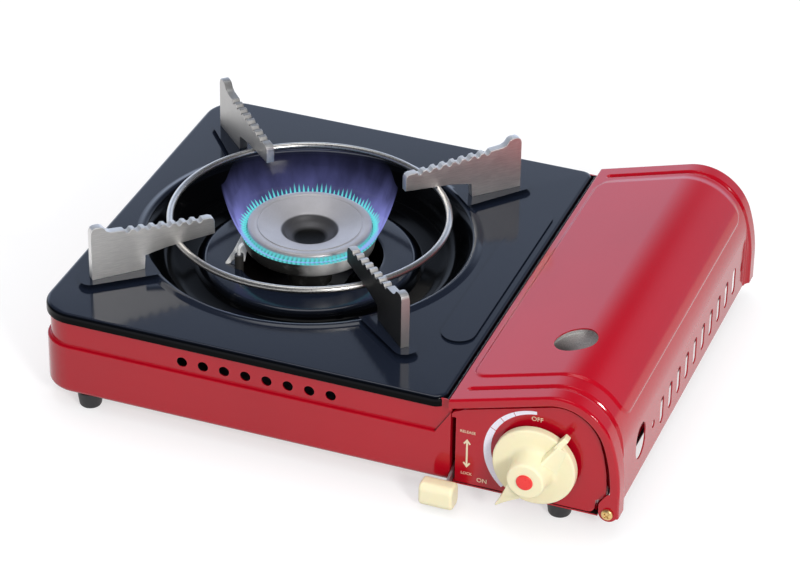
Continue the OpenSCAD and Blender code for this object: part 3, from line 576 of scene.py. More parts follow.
@made_once
def brushed_steel(
    name, tint, turn=0.0, rough=0.34, stretch=30.0, metallic=1.0, bump_depth=0.00003, painted_dark_side=1.0
):
    """Steel with a grain in one direction and brighter, worn edges, and if asked one side painted dark as a
    painted reflection.
    """
    made, tree, shader = material(name)
    grain = group_node(tree, "Brushed grain", {"Turn": turn, "Stretch": stretch})
    wear = group_node(tree, "Edge wear", {"Radius": 0.0005, "Breakup": 0.35})
    dark = shaded(tint, 0.82)
    light = tuple(min(1.0, c * 1.3 + 0.04) for c in tint) + (1.0,)
    lined = blend_colour(tree, remap(tree, grain.outputs["Lines"], 0.3, 0.7), dark, opaque(tint))
    patched = blend_colour(
        tree, remap(tree, grain.outputs["Patches"], 0.35, 0.7, 0.0, 0.3), lined, dark
    )
    edged = blend_colour(tree, maths(tree, "MULTIPLY", wear.outputs[0], 0.8), patched, light)
    if painted_dark_side < 1.0:
        # Painted reflection: the side that faces the front left is painted darker, in place of the black
        # plate it mirrors.
        facing = add(tree, "ShaderNodeNewGeometry").outputs["Normal"]
        mirrored = remap(tree, alike(tree, facing, (-0.707, -0.707, 0.0)), 0.9, 0.98)
        edged = blend_colour(tree, mirrored, edged, shaded(tint, painted_dark_side))
    feed(tree, shader, {"Base Color": edged, "Metallic": metallic})
    uneven = remap(tree, grain.outputs["Lines"], 0.2, 0.8, rough - 0.07, rough + 0.09)
    feed(tree, shader, {"Roughness": uneven})
    bump(tree, shader, grain.outputs["Lines"], bump_depth, 0.6)
    return made


@made_once
def cast_metal(name):
    """Matt cast alloy of the burner's cap, with a fine sandy skin and painted shade in its centre hole."""
    made, tree, shader = material(name)
    cap = opaque(bpy.context.scene.stove_colours.cap)
    place = object_place(tree)
    sand = noise(tree, place, 1500.0, 3.0)
    stain = remap(tree, noise(tree, place, 60.0, 4.0), 0.35, 0.75)
    wear = group_node(tree, "Edge wear", {"Radius": 0.0005, "Breakup": 0.3})
    dull = shaded(cap, 0.86)
    body = blend_colour(tree, stain, cap, dull)
    body = blend_colour(tree, remap(tree, sand, 0.4, 0.7, 0.0, 0.25), body, dull)
    body = blend_colour(tree, maths(tree, "MULTIPLY", wear.outputs[0], 0.5), body, (0.72, 0.71, 0.7, 1.0))
    # Painted shade: the wall of the centre hole is painted dark grey and its bottom black.
    reach = reach_from_well(tree, place)
    hole_wall_shade = remap(tree, reach, 0.0172, 0.0162, 0.0, 0.88)
    deep = remap(tree, reach, 0.0110, 0.0085, 0.0, 1.0)
    body = blend_colour(tree, hole_wall_shade, body, (0.06, 0.06, 0.065, 1.0))
    body = blend_colour(tree, deep, body, (0.004, 0.004, 0.004, 1.0))
    feed(tree, shader, {
        "Base Color": body,
        "Metallic": 0.75,
        "Roughness": remap(tree, sand, 0.2, 0.8, 0.4, 0.56),
    })
    bump(tree, shader, sand, 0.00004, 0.5)
    return made


@made_once
def plastic(name, tint, rough=0.36, depth=0.00002, subsurface=0.0):
    """Moulded plastic with a fine skin and a little uneven gloss."""
    made, tree, shader = material(name)
    place = object_place(tree)
    skin = noise(tree, place, 700.0, 3.0)
    cloud = remap(tree, noise(tree, place, 45.0, 3.0), 0.3, 0.7)
    shade = shaded(tint, 0.93)
    feed(tree, shader, {
        "Base Color": blend_colour(tree, cloud, shade, opaque(tint)),
        "Roughness": remap(tree, skin, 0.2, 0.8, rough - 0.06, rough + 0.08),
    })
    if subsurface:
        feed(tree, shader, {"Subsurface Weight": subsurface, "Subsurface Scale": 0.002})
    bump(tree, shader, skin, depth, 0.5)
    return made


def cream_plastic():
    """The knob's and the lever tip's plastic."""
    tint = tuple(bpy.context.scene.stove_colours.cream)
    return plastic("cream plastic", tint, rough=0.38, subsurface=0.12)


def brass():
    return brushed_steel("brass", (0.78, 0.58, 0.30), rough=0.28, stretch=2.0)


def can_tin():
    """Bright tin of the cartridge's ends, pale so that it still shows in the dark bay."""
    return brushed_steel(
        "can tin", (0.95, 0.95, 0.93), rough=0.25, stretch=2.0, metallic=0.15, bump_depth=0.00001
    )


@made_once
def printed(name, tint):
    """Screen-printed ink, a little uneven."""
    made, tree, shader = material(name)
    place = object_place(tree)
    thin = remap(tree, noise(tree, place, 1400.0, 3.0), 0.35, 0.75)
    weak = shaded(tint, 0.86)
    feed(tree, shader, {
        "Base Color": blend_colour(tree, thin, opaque(tint), weak),
        "Roughness": remap(tree, thin, 0.0, 1.0, 0.3, 0.42),
    })
    return made


# ---------------------------------------------------------------- red box


class STOVE_OT_box(bpy.types.Operator):
    """Builds the red box with its recessed band and air holes"""

    bl_idname = "stove.box"
    bl_label = "Box"

    def execute(self, context):
        sizes = context.scene.stove_sizes
        band_z, band_step, wedge_x = 31.0, 2.0, 239.0
        ledge, slant, wall_top = 1.4, 14.5, PLATE_TOP - 0.8
        bm = bmesh.new()
        right, back = WALL_END, BODY_DEPTH
        outline = ((0, 0), (wedge_x, 0), (right, 0), (right, back), (wedge_x, back), (0, back))
        face_of(bm, [(x, y, 0) for x, y in outline])
        round_corners(bm, [((0, 0, 0), CORNER_RADIUS), ((0, back, 0), CORNER_RADIUS)])
        faces = pull(bm, list(bm.faces), (0, 0, band_z - ledge))
        faces = pull(bm, faces, (0, 0, ledge))
        bmesh.ops.inset_region(
            bm, faces=faces, thickness=band_step, depth=0, use_even_offset=True, use_boundary=True
        )
        top = pull(bm, faces, (0, 0, wall_top - band_z))
        # The end of the band slants up to the lip.
        for v in bm.verts:
            if v.co.x > right - band_step - 0.5 and band_z - 2 < v.co.z < band_z + 0.5:
                v.co.z += slant
                v.co.x = right
        bmesh.ops.delete(bm, geom=top, context="FACES")
        cleaned(bm)
        shoulder = [
            e for e in sharp_edges(bm, 18) if all(band_z - 2.5 < v.co.z < PLATE_TOP - 3 for v in e.verts)
        ]
        soften(bm, shoulder, 0.7, 3)
        bottom = [
            e for e in bm.edges if all(abs(v.co.z) < 0.01 for v in e.verts) and len(e.link_faces) == 2
        ]
        soften(bm, [e for e in bottom if degrees(e.calc_face_angle(0)) > 60], 3.5, 5)
        cleaned(bm)
        bmesh.ops.solidify(bm, geom=list(bm.faces), thickness=sizes.sheet)
        holes = bmesh.new()
        pitch, vent_z, past_well = 12.66, 37.3, 20
        first = WELL.x + past_well - (sizes.vents - 1) * pitch / 2
        for i in range(sizes.vents):
            pull(holes, front_disc(holes, first + i * pitch, 6, vent_z, sizes.vent_width / 2), (0, -8, 0))
        cleaned(holes)
        bm = cut(bm, holes)
        self.bay_floor(bm, sizes.sheet)
        middle = Vector((right / 2, back / 2, PLATE_TOP / 2))
        # Painted shade: the inner faces get a near-black finish in place of the shade inside the box.
        for f in bm.faces:
            centre = f.calc_center_median()
            if f.normal.dot(centre - middle) < 0 and (centre.x < right - 0.2 or f.normal.z > 0.5):
                f.material_index = 1
        inside = plastic("dark inside", (0.012, 0.008, 0.008), rough=0.6)
        finished(
            "box_shell", bm, [gloss_paint("gloss paint"), inside], "stove", ["body_shell"],
            clean=False,
        )
        return {"FINISHED"}

    def bay_floor(self, bm, sheet):
        """The floor that runs on under the cartridge bay, with its upright lip."""
        end = stove_box("body_shell")[1].x
        for low, high in (
            ((WALL_END - 0.4, 0, 0), (end, BODY_DEPTH, sheet)),
            ((end - 2.5, 4, sheet - 0.1), (end - 1.7, BODY_DEPTH - 4, 8)),
        ):
            floor = rectangle(bm, low, (high[0], high[1], low[2]))
            before = len(bm.faces)
            pull(bm, [floor], (0, 0, high[2] - low[2]))
            bm.faces.ensure_lookup_table()
            bmesh.ops.recalc_face_normals(bm, faces=bm.faces[before - 1:])


# ---------------------------------------------------------------- top plate


def seat(bm):
    """A pressed seat that runs outwards from the well under a fin."""
    inner, outer = 96.0, 141.0
    half, tip = 11.0, 6.5
    face_of(bm, [(inner, -half, 0), (outer, -tip, 0), (outer, tip, 0), (inner, half, 0)])
    round_corners(bm, [((outer, -tip, 0), 5.5), ((outer, tip, 0), 5.5)])


class STOVE_OT_top_plate(bpy.types.Operator):
    """Builds the black plate with its lip, well, seats and long pressed pad"""

    bl_idname = "stove.top_plate"
    bl_label = "Top plate"

    def raised(self, bm, levels):
        """Raises the last face in steps of (inset, rise), as a pressed form with soft sides."""
        faces = [max(bm.faces, key=lambda f: f.calc_area())]
        for step, rise in levels:
            step_in(bm, faces, step, (0, 0, rise))

    def execute(self, context):
        sizes = context.scene.stove_sizes
        width, depth = BOX_WIDTH, BODY_DEPTH
        bm = bmesh.new()
        left, right = CORNER_RADIUS, 7.0
        rectangle(bm, (0, 0, LIP_FOOT), (width, depth, LIP_FOOT))
        for x, radius in ((0, left), (width, right)):
            round_corners(bm, [((x, y, LIP_FOOT), radius) for y in (0, depth)])
        pull(bm, list(bm.faces), (0, 0, PLATE_TOP - LIP_FOOT))
        under = [f for f in bm.faces if f.calc_center_median().z < LIP_FOOT + 0.01]
        bmesh.ops.delete(bm, geom=under, context="FACES_ONLY")
        rim = [e for e in bm.edges if all(v.co.z > PLATE_TOP - 0.01 for v in e.verts)]
        soften(bm, rim, sizes.lip_radius, 5)
        top = [f for f in bm.faces if f.calc_center_median().z > PLATE_TOP - 0.01 and len(f.verts) > 8]
        bmesh.ops.delete(bm, geom=top, context="FACES_ONLY")
        outline = [e for e in bm.edges if all(v.co.z > PLATE_TOP - 0.01 for v in e.verts)]
        well_edge, well_steps = 101.0, 160
        circle = bmesh.ops.create_circle(
            bm,
            cap_ends=False,
            segments=well_steps,
            radius=well_edge,
            matrix=Matrix.Translation(WELL + Vector((0, 0, PLATE_TOP))),
        )
        hole = list({e for v in circle["verts"] for e in v.link_edges})
        bmesh.ops.triangle_fill(bm, edges=outline + hole, use_beauty=True, use_dissolve=False)
        well = bmesh.new()
        lathe(
            well,
            [
                (well_edge, PLATE_TOP), (99.6, 53.15), (98.4, 53.75), (97.0, 54.0), (95.6, 53.8),
                (94.4, 53.0), (92.0, 49.5), (88.5, 43.0), (85.5, 39.0), (82.5, 36.6), (78.5, 35.3),
                (75.0, 35.0), (67.0, 35.0), (64.6, 35.5), (62.8, 37.4), (61.4, 39.2), (59.5, 40.0),
                (44.5, 40.0), (43.0, 39.6), (42.3, 38.4), (42.0, 35.5),
            ],
            WELL,
            steps=well_steps,
            closed=False,
        )
        merge(bm, well)
        for angle in FIN_ANGLES.values():
            part = bmesh.new()
            seat(part)
            self.raised(part, [(0.5, 0.12), (0.7, 0.7), (1.1, 1.9), (0.6, 0.25), (0.8, 0.03)])
            turn = Matrix.Rotation(radians(angle), 4, "Z")
            merge(bm, part, Matrix.Translation(WELL + Vector((0, 0, PLATE_TOP - SUNK))) @ turn)
        part = bmesh.new()
        half_w, half_l = 9.75, 76.0
        rectangle(part, (-half_w, -half_l, 0), (half_w, half_l, 0), half_w - 0.05)
        self.raised(part, [(0.5, 0.15), (0.45, 0.5), (0.45, 0.5), (0.5, 0.1), (0.8, 0.01)])
        merge(bm, part, Matrix.Translation((229.2, WELL.y, PLATE_TOP - SUNK)))
        bmesh.ops.recalc_face_normals(bm, faces=bm.faces)
        for f in bm.faces:
            if f.normal.z < -0.2:
                f.normal_flip()
        finished(
            "plate_top", bm, black_enamel("black enamel"), "stove", ["top_plate"],
            crease=40, clean=False,
        )
        return {"FINISHED"}


# ---------------------------------------------------------------- cover


def arc_end(point, radius, start, end):
    """Where an arc that starts at a point with one heading ends with another heading."""
    a, b = radians(start), radians(end)
    return Vector((point.x + radius * (sin(a) - sin(b)), 0, point.z + radius * (cos(b) - cos(a))))


COVER_LEFT = Vector((247.5, 0, 55.0))
SLOPE, CREST_END, SHOULDER_END = 15.9, -30.0, -72.0
CREST_R, SHOULDER_R, SIDE_R, FLANGE_R = 30.0, 34.0, 40.0, 100.0
TOP_LENGTH = 56.7
COVER_FOOT = 2.5


def cover_outline(side_radius):
    """Points and headings along the cover's section, from its left edge to its foot."""
    low, bend = Vector((0, 0, -2.5)), Vector((0.15, 0, -0.35))
    row = [(COVER_LEFT + low, SLOPE), (COVER_LEFT + low / 2, SLOPE), (COVER_LEFT + bend, SLOPE)]
    crest = COVER_LEFT + TOP_LENGTH * Vector((cos(radians(SLOPE)), 0, sin(radians(SLOPE))))
    for t in (
        0.008, 0.02, 0.05, 0.075, 0.085, 0.095, 0.105, 0.115, 0.125, 0.135, 0.15, 0.165, 0.185, 0.21, 0.25
    ):
        row.append((COVER_LEFT.lerp(crest, t), SLOPE))
    straight_steps = 12
    for i in range(1, straight_steps + 1):
        row.append((COVER_LEFT.lerp(crest, 0.25 + 0.75 * i / straight_steps), SLOPE))
    here = crest
    for radius, start, end, count in (
        (CREST_R, SLOPE, CREST_END, 16),
        (SHOULDER_R, CREST_END, SHOULDER_END, 34),
        (side_radius, SHOULDER_END, -90, 8),
    ):
        for i in range(1, count + 1):
            turn = start + (end - start) * i / count
            row.append((arc_end(here, radius, start, turn), turn))
        here = row[-1][0]
    foot = Vector((here.x, 0, COVER_FOOT))
    for i in range(1, straight_steps + 1):
        row.append((here.lerp(foot, i / straight_steps), -90))
    return row


def rise_between(value, low, high):
    """Goes smoothly from 0 at low to 1 at high."""
    t = min(1.0, max(0.0, (value - low) / (high - low)))
    return t * t * (3 - 2 * t)


class STOVE_OT_cover(bpy.types.Operator):
    """Builds the hinged cartridge cover with its panel, grooves, window and slots"""

    bl_idname = "stove.cover"
    bl_label = "Cartridge cover"

    def stations(self):
        """Pairs of a place along the cover's length and how far its edge is folded inwards there."""
        fold = [
            (-2.5, 5.4), (-2.85, 5.1), (-3.0, 4.5), (-3.0, 1.6), (-2.85, 0.8), (-2.45, 0.25), (-1.8, 0.0)
        ]
        front = [-1.0, 1.0, 3.0, 5.0, 6.0]
        front += [6.4 + 0.35 * i for i in range(16)]
        front += [12.6, 14.0, 16.0, 18.0, 19.0]
        front += [19.6 + 0.5 * i for i in range(26)]
        middle = [33.0 + i * 7.0 for i in range(1, 28)]
        rear = [BODY_DEPTH - y for y in front]
        plain = sorted(set(round(v, 3) for v in front + rear + middle))
        rear_fold = [(BODY_DEPTH - y - 0.5, depth) for y, depth in reversed(fold)]
        return fold + [(y, 0.0) for y in plain] + rear_fold

    def lift(self, x, y, along, sizes):
        """Height of the pressed forms over the plain section."""
        panel_left, panel_front, panel_rear, corner = 252.5, 21.5, BODY_DEPTH - 16.5, 9.0
        panel_end = 104.5
        across = min((x - panel_left) if along < 30 else 60.0, panel_end - along)
        dx = max(corner - across, 0.0)
        dy = max(corner - (y - panel_front), corner - (panel_rear - y), 0.0)
        inside = corner - hypot(dx, dy)
        panel = sizes.panel_rise * rise_between(inside, -1.3, 0.5)
        groove = 0.0
        for centre in (9.0, BODY_DEPTH - 8.5):
            reach = hypot(max(256.5 - x, 0.0) if along < 30 else 0.0, y - centre)
            groove += sizes.groove_depth * (1.0 - rise_between(reach, 0.5, 2.1))
        return panel - groove

    def execute(self, context):
        sizes = context.scene.stove_sizes
        middle, flange = cover_outline(SIDE_R), cover_outline(FLANGE_R)
        stations = self.stations()
        columns = len(middle)
        bm = bmesh.new()
        grid = bmesh.ops.create_grid(bm, x_segments=columns - 1, y_segments=len(stations) - 1, size=1.0)
        length = 0.0
        lengths = [0.0]
        for (a, _), (b, _) in zip(middle, middle[1:]):
            length += (b - a).length
            lengths.append(length)
        for v in grid["verts"]:
            i = round((v.co.x + 1) / 2 * (columns - 1))
            y, fold = stations[round((v.co.y + 1) / 2 * (len(stations) - 1))]
            flare = 1.0 - rise_between(y, 7.5, 12.0) + rise_between(y, BODY_DEPTH - 12, BODY_DEPTH - 7.5)
            point = middle[i][0].lerp(flange[i][0], flare)
            heading = radians(middle[i][1] * (1 - flare) + flange[i][1] * flare)
            up = self.lift(point.x, y, lengths[i], sizes) - fold
            v.co = Vector((point.x - sin(heading) * up, y, point.z + cos(heading) * up))
        cleaned(bm, 0.01)
        for f in bm.faces:
            f.smooth = True
        highest = max(bm.faces, key=lambda f: f.calc_center_median().z)
        if highest.normal.z < 0:
            bmesh.ops.reverse_faces(bm, faces=bm.faces)
        bmesh.ops.solidify(bm, geom=list(bm.faces), thickness=sizes.sheet)
        bm = cut(bm, self.holes(sizes))
        self.ears(bm)
        finished(
            "cover_shell", bm, gloss_paint("gloss paint"), "cover", ["cartridge_cover"],
            crease=45, clean=False,
        )
        return {"FINISHED"}

    def ears(self, bm):
        """The round ears of the cover's two ends, which the hinge screws hold."""
        for y, way in ((-2.95, 1), (BODY_DEPTH + 2.45, -1)):
            part = bmesh.new()
            corners = [
                (334.2, y, -0.3), (345.1, y, -0.3), (345.1, y, 17.0), (338.9, y, 17.0), (334.2, y, 10.5)
            ]
            face_of(part, corners)
            round_corners(part, [(corners[0], 5.2), (corners[1], 6.0), (corners[4], 2.0)])
            pull(part, list(part.faces), (0, way * 0.9, 0))
            cleaned(part)
            soften(part, sharp_edges(part, 50), 0.3, 2)
            merge(bm, part)

    def holes(self, sizes):
        """Shapes of the window, the side slots and the side holes."""
        holes = bmesh.new()
        window_place, side_hole_place = (299.3, 57, 60), (338, 68, 19)
        window = disc(holes, sizes.window_width / 2, Matrix.Translation(window_place), 64)
        pull(holes, window, (0, 0, 20))
        inner, through = side_hole_place[0], 10
        first_slot, slot_pitch, slot_count = 84, 15.9, 10
        # Place along the cover, height of the middle, radius of the ends and full height of each slot.
        slots = [(first_slot + slot_pitch * i, 18.5, 3.2, 17.4) for i in range(slot_count)]
        rear_slot, finger_hole = (243.0, 19.5, 1.9, 7.0), (44.0, 23.5, 8.5, 22.0)
        for y, z, radius, height in slots + [rear_slot, finger_hole]:
            part = bmesh.new()
            half = height / 2
            rectangle(part, (inner, y - radius, z - half), (inner, y + radius, z + half), radius - 0.02)
            pull(part, list(part.faces), (through, 0, 0))
            merge(holes, part)
        upright = Matrix.Rotation(radians(90), 4, "Y")
        side_hole = disc(holes, 2.5, Matrix.Translation(side_hole_place) @ upright, 24)
        pull(holes, side_hole, (through, 0, 0))
        cleaned(holes)
        return holes


# ---------------------------------------------------------------- bay


class STOVE_OT_bay(bpy.types.Operator):
    """Builds the red end panels of the cartridge bay, its print and the hinge screws"""

    bl_idname = "stove.bay"
    bl_label = "Cartridge bay"

    def panel(self, y, inward):
        """An end panel whose upper border is rounded back behind the cover's fold."""
        bm = bmesh.new()
        gap, left, right, foot, shoulder = 8.2, 248.6, 331.0, 1.0, 45.4
        points = [Vector((left, y, foot)), Vector((left, y, shoulder))]
        for p, heading in cover_outline(FLANGE_R)[::3]:
            down = Vector((sin(radians(heading)), 0, -cos(radians(heading))))
            if p.x > 252.5 and p.z > 13:
                points.append(Vector((p.x, y, p.z)) + down * gap)
        points += [Vector((335.6, y, 11.5)), Vector((331.5, y, 9.5)), Vector((right, y, foot))]
        face_of(bm, points)
        round_corners(bm, [((right, y, foot), 4.0), ((left, y, shoulder), 1.5)])
        pull(bm, list(bm.faces), (0, inward * 3.0, 0))
        cleaned(bm)
        rim = [
            e for e in sharp_edges(bm, 50) if all(abs(v.co.y - y) < 0.01 and v.co.z > 1.5 for v in e.verts)
        ]
        soften(bm, rim, 2.4, 5)
        # A set-back edge closes the gap under the cover's fold.
        strip = bmesh.new()
        upper, lower = [], []
        for p, heading in cover_outline(FLANGE_R)[::3]:
            down = Vector((sin(radians(heading)), 0, -cos(radians(heading))))
            if p.x > 252.5 and p.z > 17:
                upper.append(Vector((p.x, y + inward * 3.6, p.z)) + down * 1.8)
                lower.append(Vector((p.x, y + inward * 3.6, p.z)) + down * 13.0)
        face_of(strip, upper + lower[::-1])
        pull(strip, list(strip.faces), (0, inward * 0.8, 0))
        merge(bm, strip)
        bmesh.ops.recalc_face_normals(bm, faces=bm.faces)
        return bm

    def execute(self, context):
        for name, y, node, inward in (
            ("bay_front", 0.6, "bay_front_panel", 1),
            ("bay_back", BODY_DEPTH - 0.6, "bay_rear_panel", -1),
        ):
            bm = self.panel(y, inward)
            holes = bmesh.new()
            if inward > 0:
                rectangle(holes, (247.0, -4, 1.3), (251.1, -4, 42.6))
                pull(holes, list(holes.faces), (0, 10, 0))
                pull(holes, front_disc(holes, KNOB.x, 8, KNOB.z, 5.0), (0, -12, 0))
            else:
                for i in range(-2, 3):
                    x = CAN.x + i * 10
                    part = bmesh.new()
                    rectangle(part, (x - 2, y - 4, 24), (x + 2, y - 4, 46), 1.95)
                    pull(part, list(part.faces), (0, 10, 0))
                    merge(holes, part)
            cleaned(holes)
            bm = cut(bm, holes)
            finished(name, bm, gloss_paint("gloss paint"), "stove", [node], clean=False)
        self.screws()
        self.marks(context)
        return {"FINISHED"}

    def screws(self):
        """Two brass pan-head screws with a cross recess."""
        bm = bmesh.new()
        for y, way in ((-3.2, -1), (BODY_DEPTH + 2.7, 1)):
            head = front_disc(bm, HINGE.x, y, HINGE.z, 3.2, 32)
            head = pull(bm, head, (0, way * 1.1, 0))
            for step, rise in ((0.35, 0.35), (0.6, 0.3), (0.9, 0.2)):
                step_in(bm, head, step, (0, way * rise, 0))
        cleaned(bm)
        crosses = bmesh.new()
        arm, half = 2.0, 0.42
        corner = [(half, half), (half, arm), (-half, arm), (-half, half), (-arm, half), (-arm, -half)]
        corner += [(-half, -half), (-half, -arm), (half, -arm), (half, -half), (arm, -half), (arm, half)]
        for y, way in ((-4.4, -1), (BODY_DEPTH + 3.9, 1)):
            face_of(crosses, [(HINGE.x + (u - w) * 0.7, y, HINGE.z + (u + w) * 0.7) for u, w in corner])
            pull(crosses, [list(crosses.faces)[-1]], (0, way * 3, 0))
        cleaned(crosses)
        bm = cut(bm, crosses)
        finished("pivot_screws", bm, brass(), "stove", ["hinge_screws"], clean=False)

    def marks(self, context):
        """The crescent scale, its ticks, the two words and the double arrow."""
        colours = context.scene.stove_colours
        ink = printed("cream ink", tuple(colours.print))
        pale = printed("pale ink", tuple(colours.scale))
        y = 0.5
        bm = bmesh.new()
        steps, first_angle, last_angle, radius = 40, 93, 229, 31.0
        inner, outer = [], []
        for i in range(steps + 1):
            t = i / steps
            angle = radians(first_angle + (last_angle - first_angle) * t)
            ray = Vector((cos(angle), 0, sin(angle)))
            thick = 1.9 + 3.6 * t
            outer.append(Vector((KNOB.x, y, KNOB.z)) + ray * radius)
            inner.append(Vector((KNOB.x, y, KNOB.z)) + ray * (radius - thick))
        rows = [chain(bm, line) for line in (outer, inner)]
        edges = [g for row in rows for g in row if isinstance(g, bmesh.types.BMEdge)]
        bmesh.ops.bridge_loops(bm, edges=edges)
        pull(bm, list(bm.faces), (0, -0.06, 0))
        finished("knob_scale", bm, pale, "stove", even=False)
        bm = bmesh.new()
        for degrees_at in (118, 135, 152):
            angle = radians(degrees_at)
            tip = Vector((cos(angle), 0, sin(angle)))
            side = Vector((-sin(angle), 0, cos(angle))) * 0.16
            base = Vector((KNOB.x, y - 0.06, KNOB.z))
            start, end = base + tip * 27.0, base + tip * radius
            face_of(bm, [start - side, end - side, end + side, start + side])
        pull(bm, list(bm.faces), (0, -0.03, 0))
        finished("scale_ticks", bm, gloss_paint("gloss paint"), "stove", even=False)
        bm = bmesh.new()
        x, low, high = 257.75, 11.5, 30.3
        parts = [[(x - 0.5, low + 2), (x + 0.5, low + 2), (x + 0.5, high - 2), (x - 0.5, high - 2)]]
        head = [(0, 0), (-2.1, 2.9), (-1.5, 3.6), (0, 1.9), (1.5, 3.6), (2.1, 2.9)]
        for z, way in ((high, -1), (low, 1)):
            parts.append([(x + u, z + way * w) for u, w in head])
        for part in parts:
            face_of(bm, [(px, y, pz) for px, pz in part])
        pull(bm, list(bm.faces), (0, -0.06, 0))
        finished("lever_arrow", bm, ink, "stove", even=False)
        for word, px, pz, size in (
            ("OFF", 297.0, 52.05, 2.7),
            ("ON", 266.7, 3.75, 2.7),
            ("RELEASE", 258.0, 34.2, 1.7),
            ("LOCK", 257.75, 6.9, 1.7),
        ):
            self.word(word, px, pz, size, y, ink)

    def word(self, text, x, z, size, y, ink):
        """A short word in plain letters, as a thin mesh on the front panel."""
        letters = bpy.data.curves.new("letters " + text, "FONT")
        letters.body = text
        letters.size = size / 0.7
        letters.align_x = "CENTER"
        letters.extrude = 0.03
        letters.resolution_u = 3
        made = in_scene("letters", letters)
        bpy.context.view_layer.update()
        mesh = bpy.data.meshes.new_from_object(made.evaluated_get(bpy.context.evaluated_depsgraph_get()))
        bpy.data.objects.remove(made)
        bm = bmesh.new()
        bm.from_mesh(mesh)
        bpy.data.meshes.remove(mesh)
        bm.transform(Matrix.Translation((x, y - 0.03, z)) @ FACING_FRONT)
        finished("word_" + text.lower(), bm, ink, "stove", even=False)


# ---------------------------------------------------------------- pan support


class STOVE_OT_pan_support(bpy.types.Operator):
    """Builds the wire ring and the four wavy fins"""

    bl_idname = "stove.pan_support"
    bl_label = "Pan support"

    def execute(self, context):
        sizes = context.scene.stove_sizes
        colours = context.scene.stove_colours
        bm = bmesh.new()
        ring_radius, ring_height, sides = 80.6, 66.0, 16
        turns = [2 * pi * i / sides for i in range(sides)]
        half = sizes.wire / 2
        section = [(ring_radius + half * cos(t), ring_height + half * sin(t)) for t in turns]
        lathe(bm, section, WELL, steps=160)
        wire = brushed_steel(
            "bright wire", tuple(colours.wire), rough=0.3, stretch=3.0, bump_depth=0.000004
        )
        finished(
            "ring_wire", bm, wire, "pan_support", ["support_ring"], crease=60, even=False
        )
        for place, angle in FIN_ANGLES.items():
            # Each fin gets its own copy of the steel, made brighter or darker as painted light.
            share, painted_dark_side = FIN_PAINTED_LIGHT[place]
            tint = tuple(c * share for c in colours.steel)
            steel = brushed_steel(
                "fin steel " + place, tint, turn=-radians(angle), rough=0.46, stretch=14.0, painted_dark_side=painted_dark_side
            )
            finished(
                "fin_" + place + "_plate",
                self.fin(angle, sizes),
                steel,
                "pan_support",
                ["fin_" + place],
                crease=35,
            )
        return {"FINISHED"}

    def fin(self, angle, sizes):
        """One fin as an outline in radius and height that is pulled to its thickness."""
        top_in, top_out = Vector((65.5, 80.2)), Vector((115.0, 84.2))
        outline = [
            (102.6, 56.1), (102.0, 65.0), (88, 67.2), (59.5, 69.3), (59.5, 77.0), (60.3, 79.2), (62.4, 80.2)
        ]
        for i in range(sizes.fin_waves):
            for t, dip in ((0.0, 0.0), (0.2, 0.0), (0.42, -1.75), (0.6, -1.9), (0.84, -0.15)):
                reach, height = top_in.lerp(top_out, (i + t) / sizes.fin_waves)
                outline.append((reach, height + dip))
        outline += [
            (115, 84.2), (122.0, 84.8), (124.4, 86.0), (126.3, 88.6), (128.0, 89.4), (131.5, 89.5),
            (133.2, 88.6), (134.0, 86.8), (134.0, 56.1),
        ]
        bm = bmesh.new()
        face_of(bm, [(reach, -sizes.fin_thickness / 2, height) for reach, height in outline])
        pull(bm, list(bm.faces), (0, sizes.fin_thickness, 0))
        cleaned(bm)
        rims = [e for e in sharp_edges(bm, 50) if all(v.co.z > 57 for v in e.verts)]
        soften(bm, [e for e in rims if abs(e.verts[0].co.y - e.verts[1].co.y) < 0.01], 0.55, 2)
        bm.transform(Matrix.Translation(WELL) @ Matrix.Rotation(radians(angle), 4, "Z"))
        return bm


# ---------------------------------------------------------------- burner


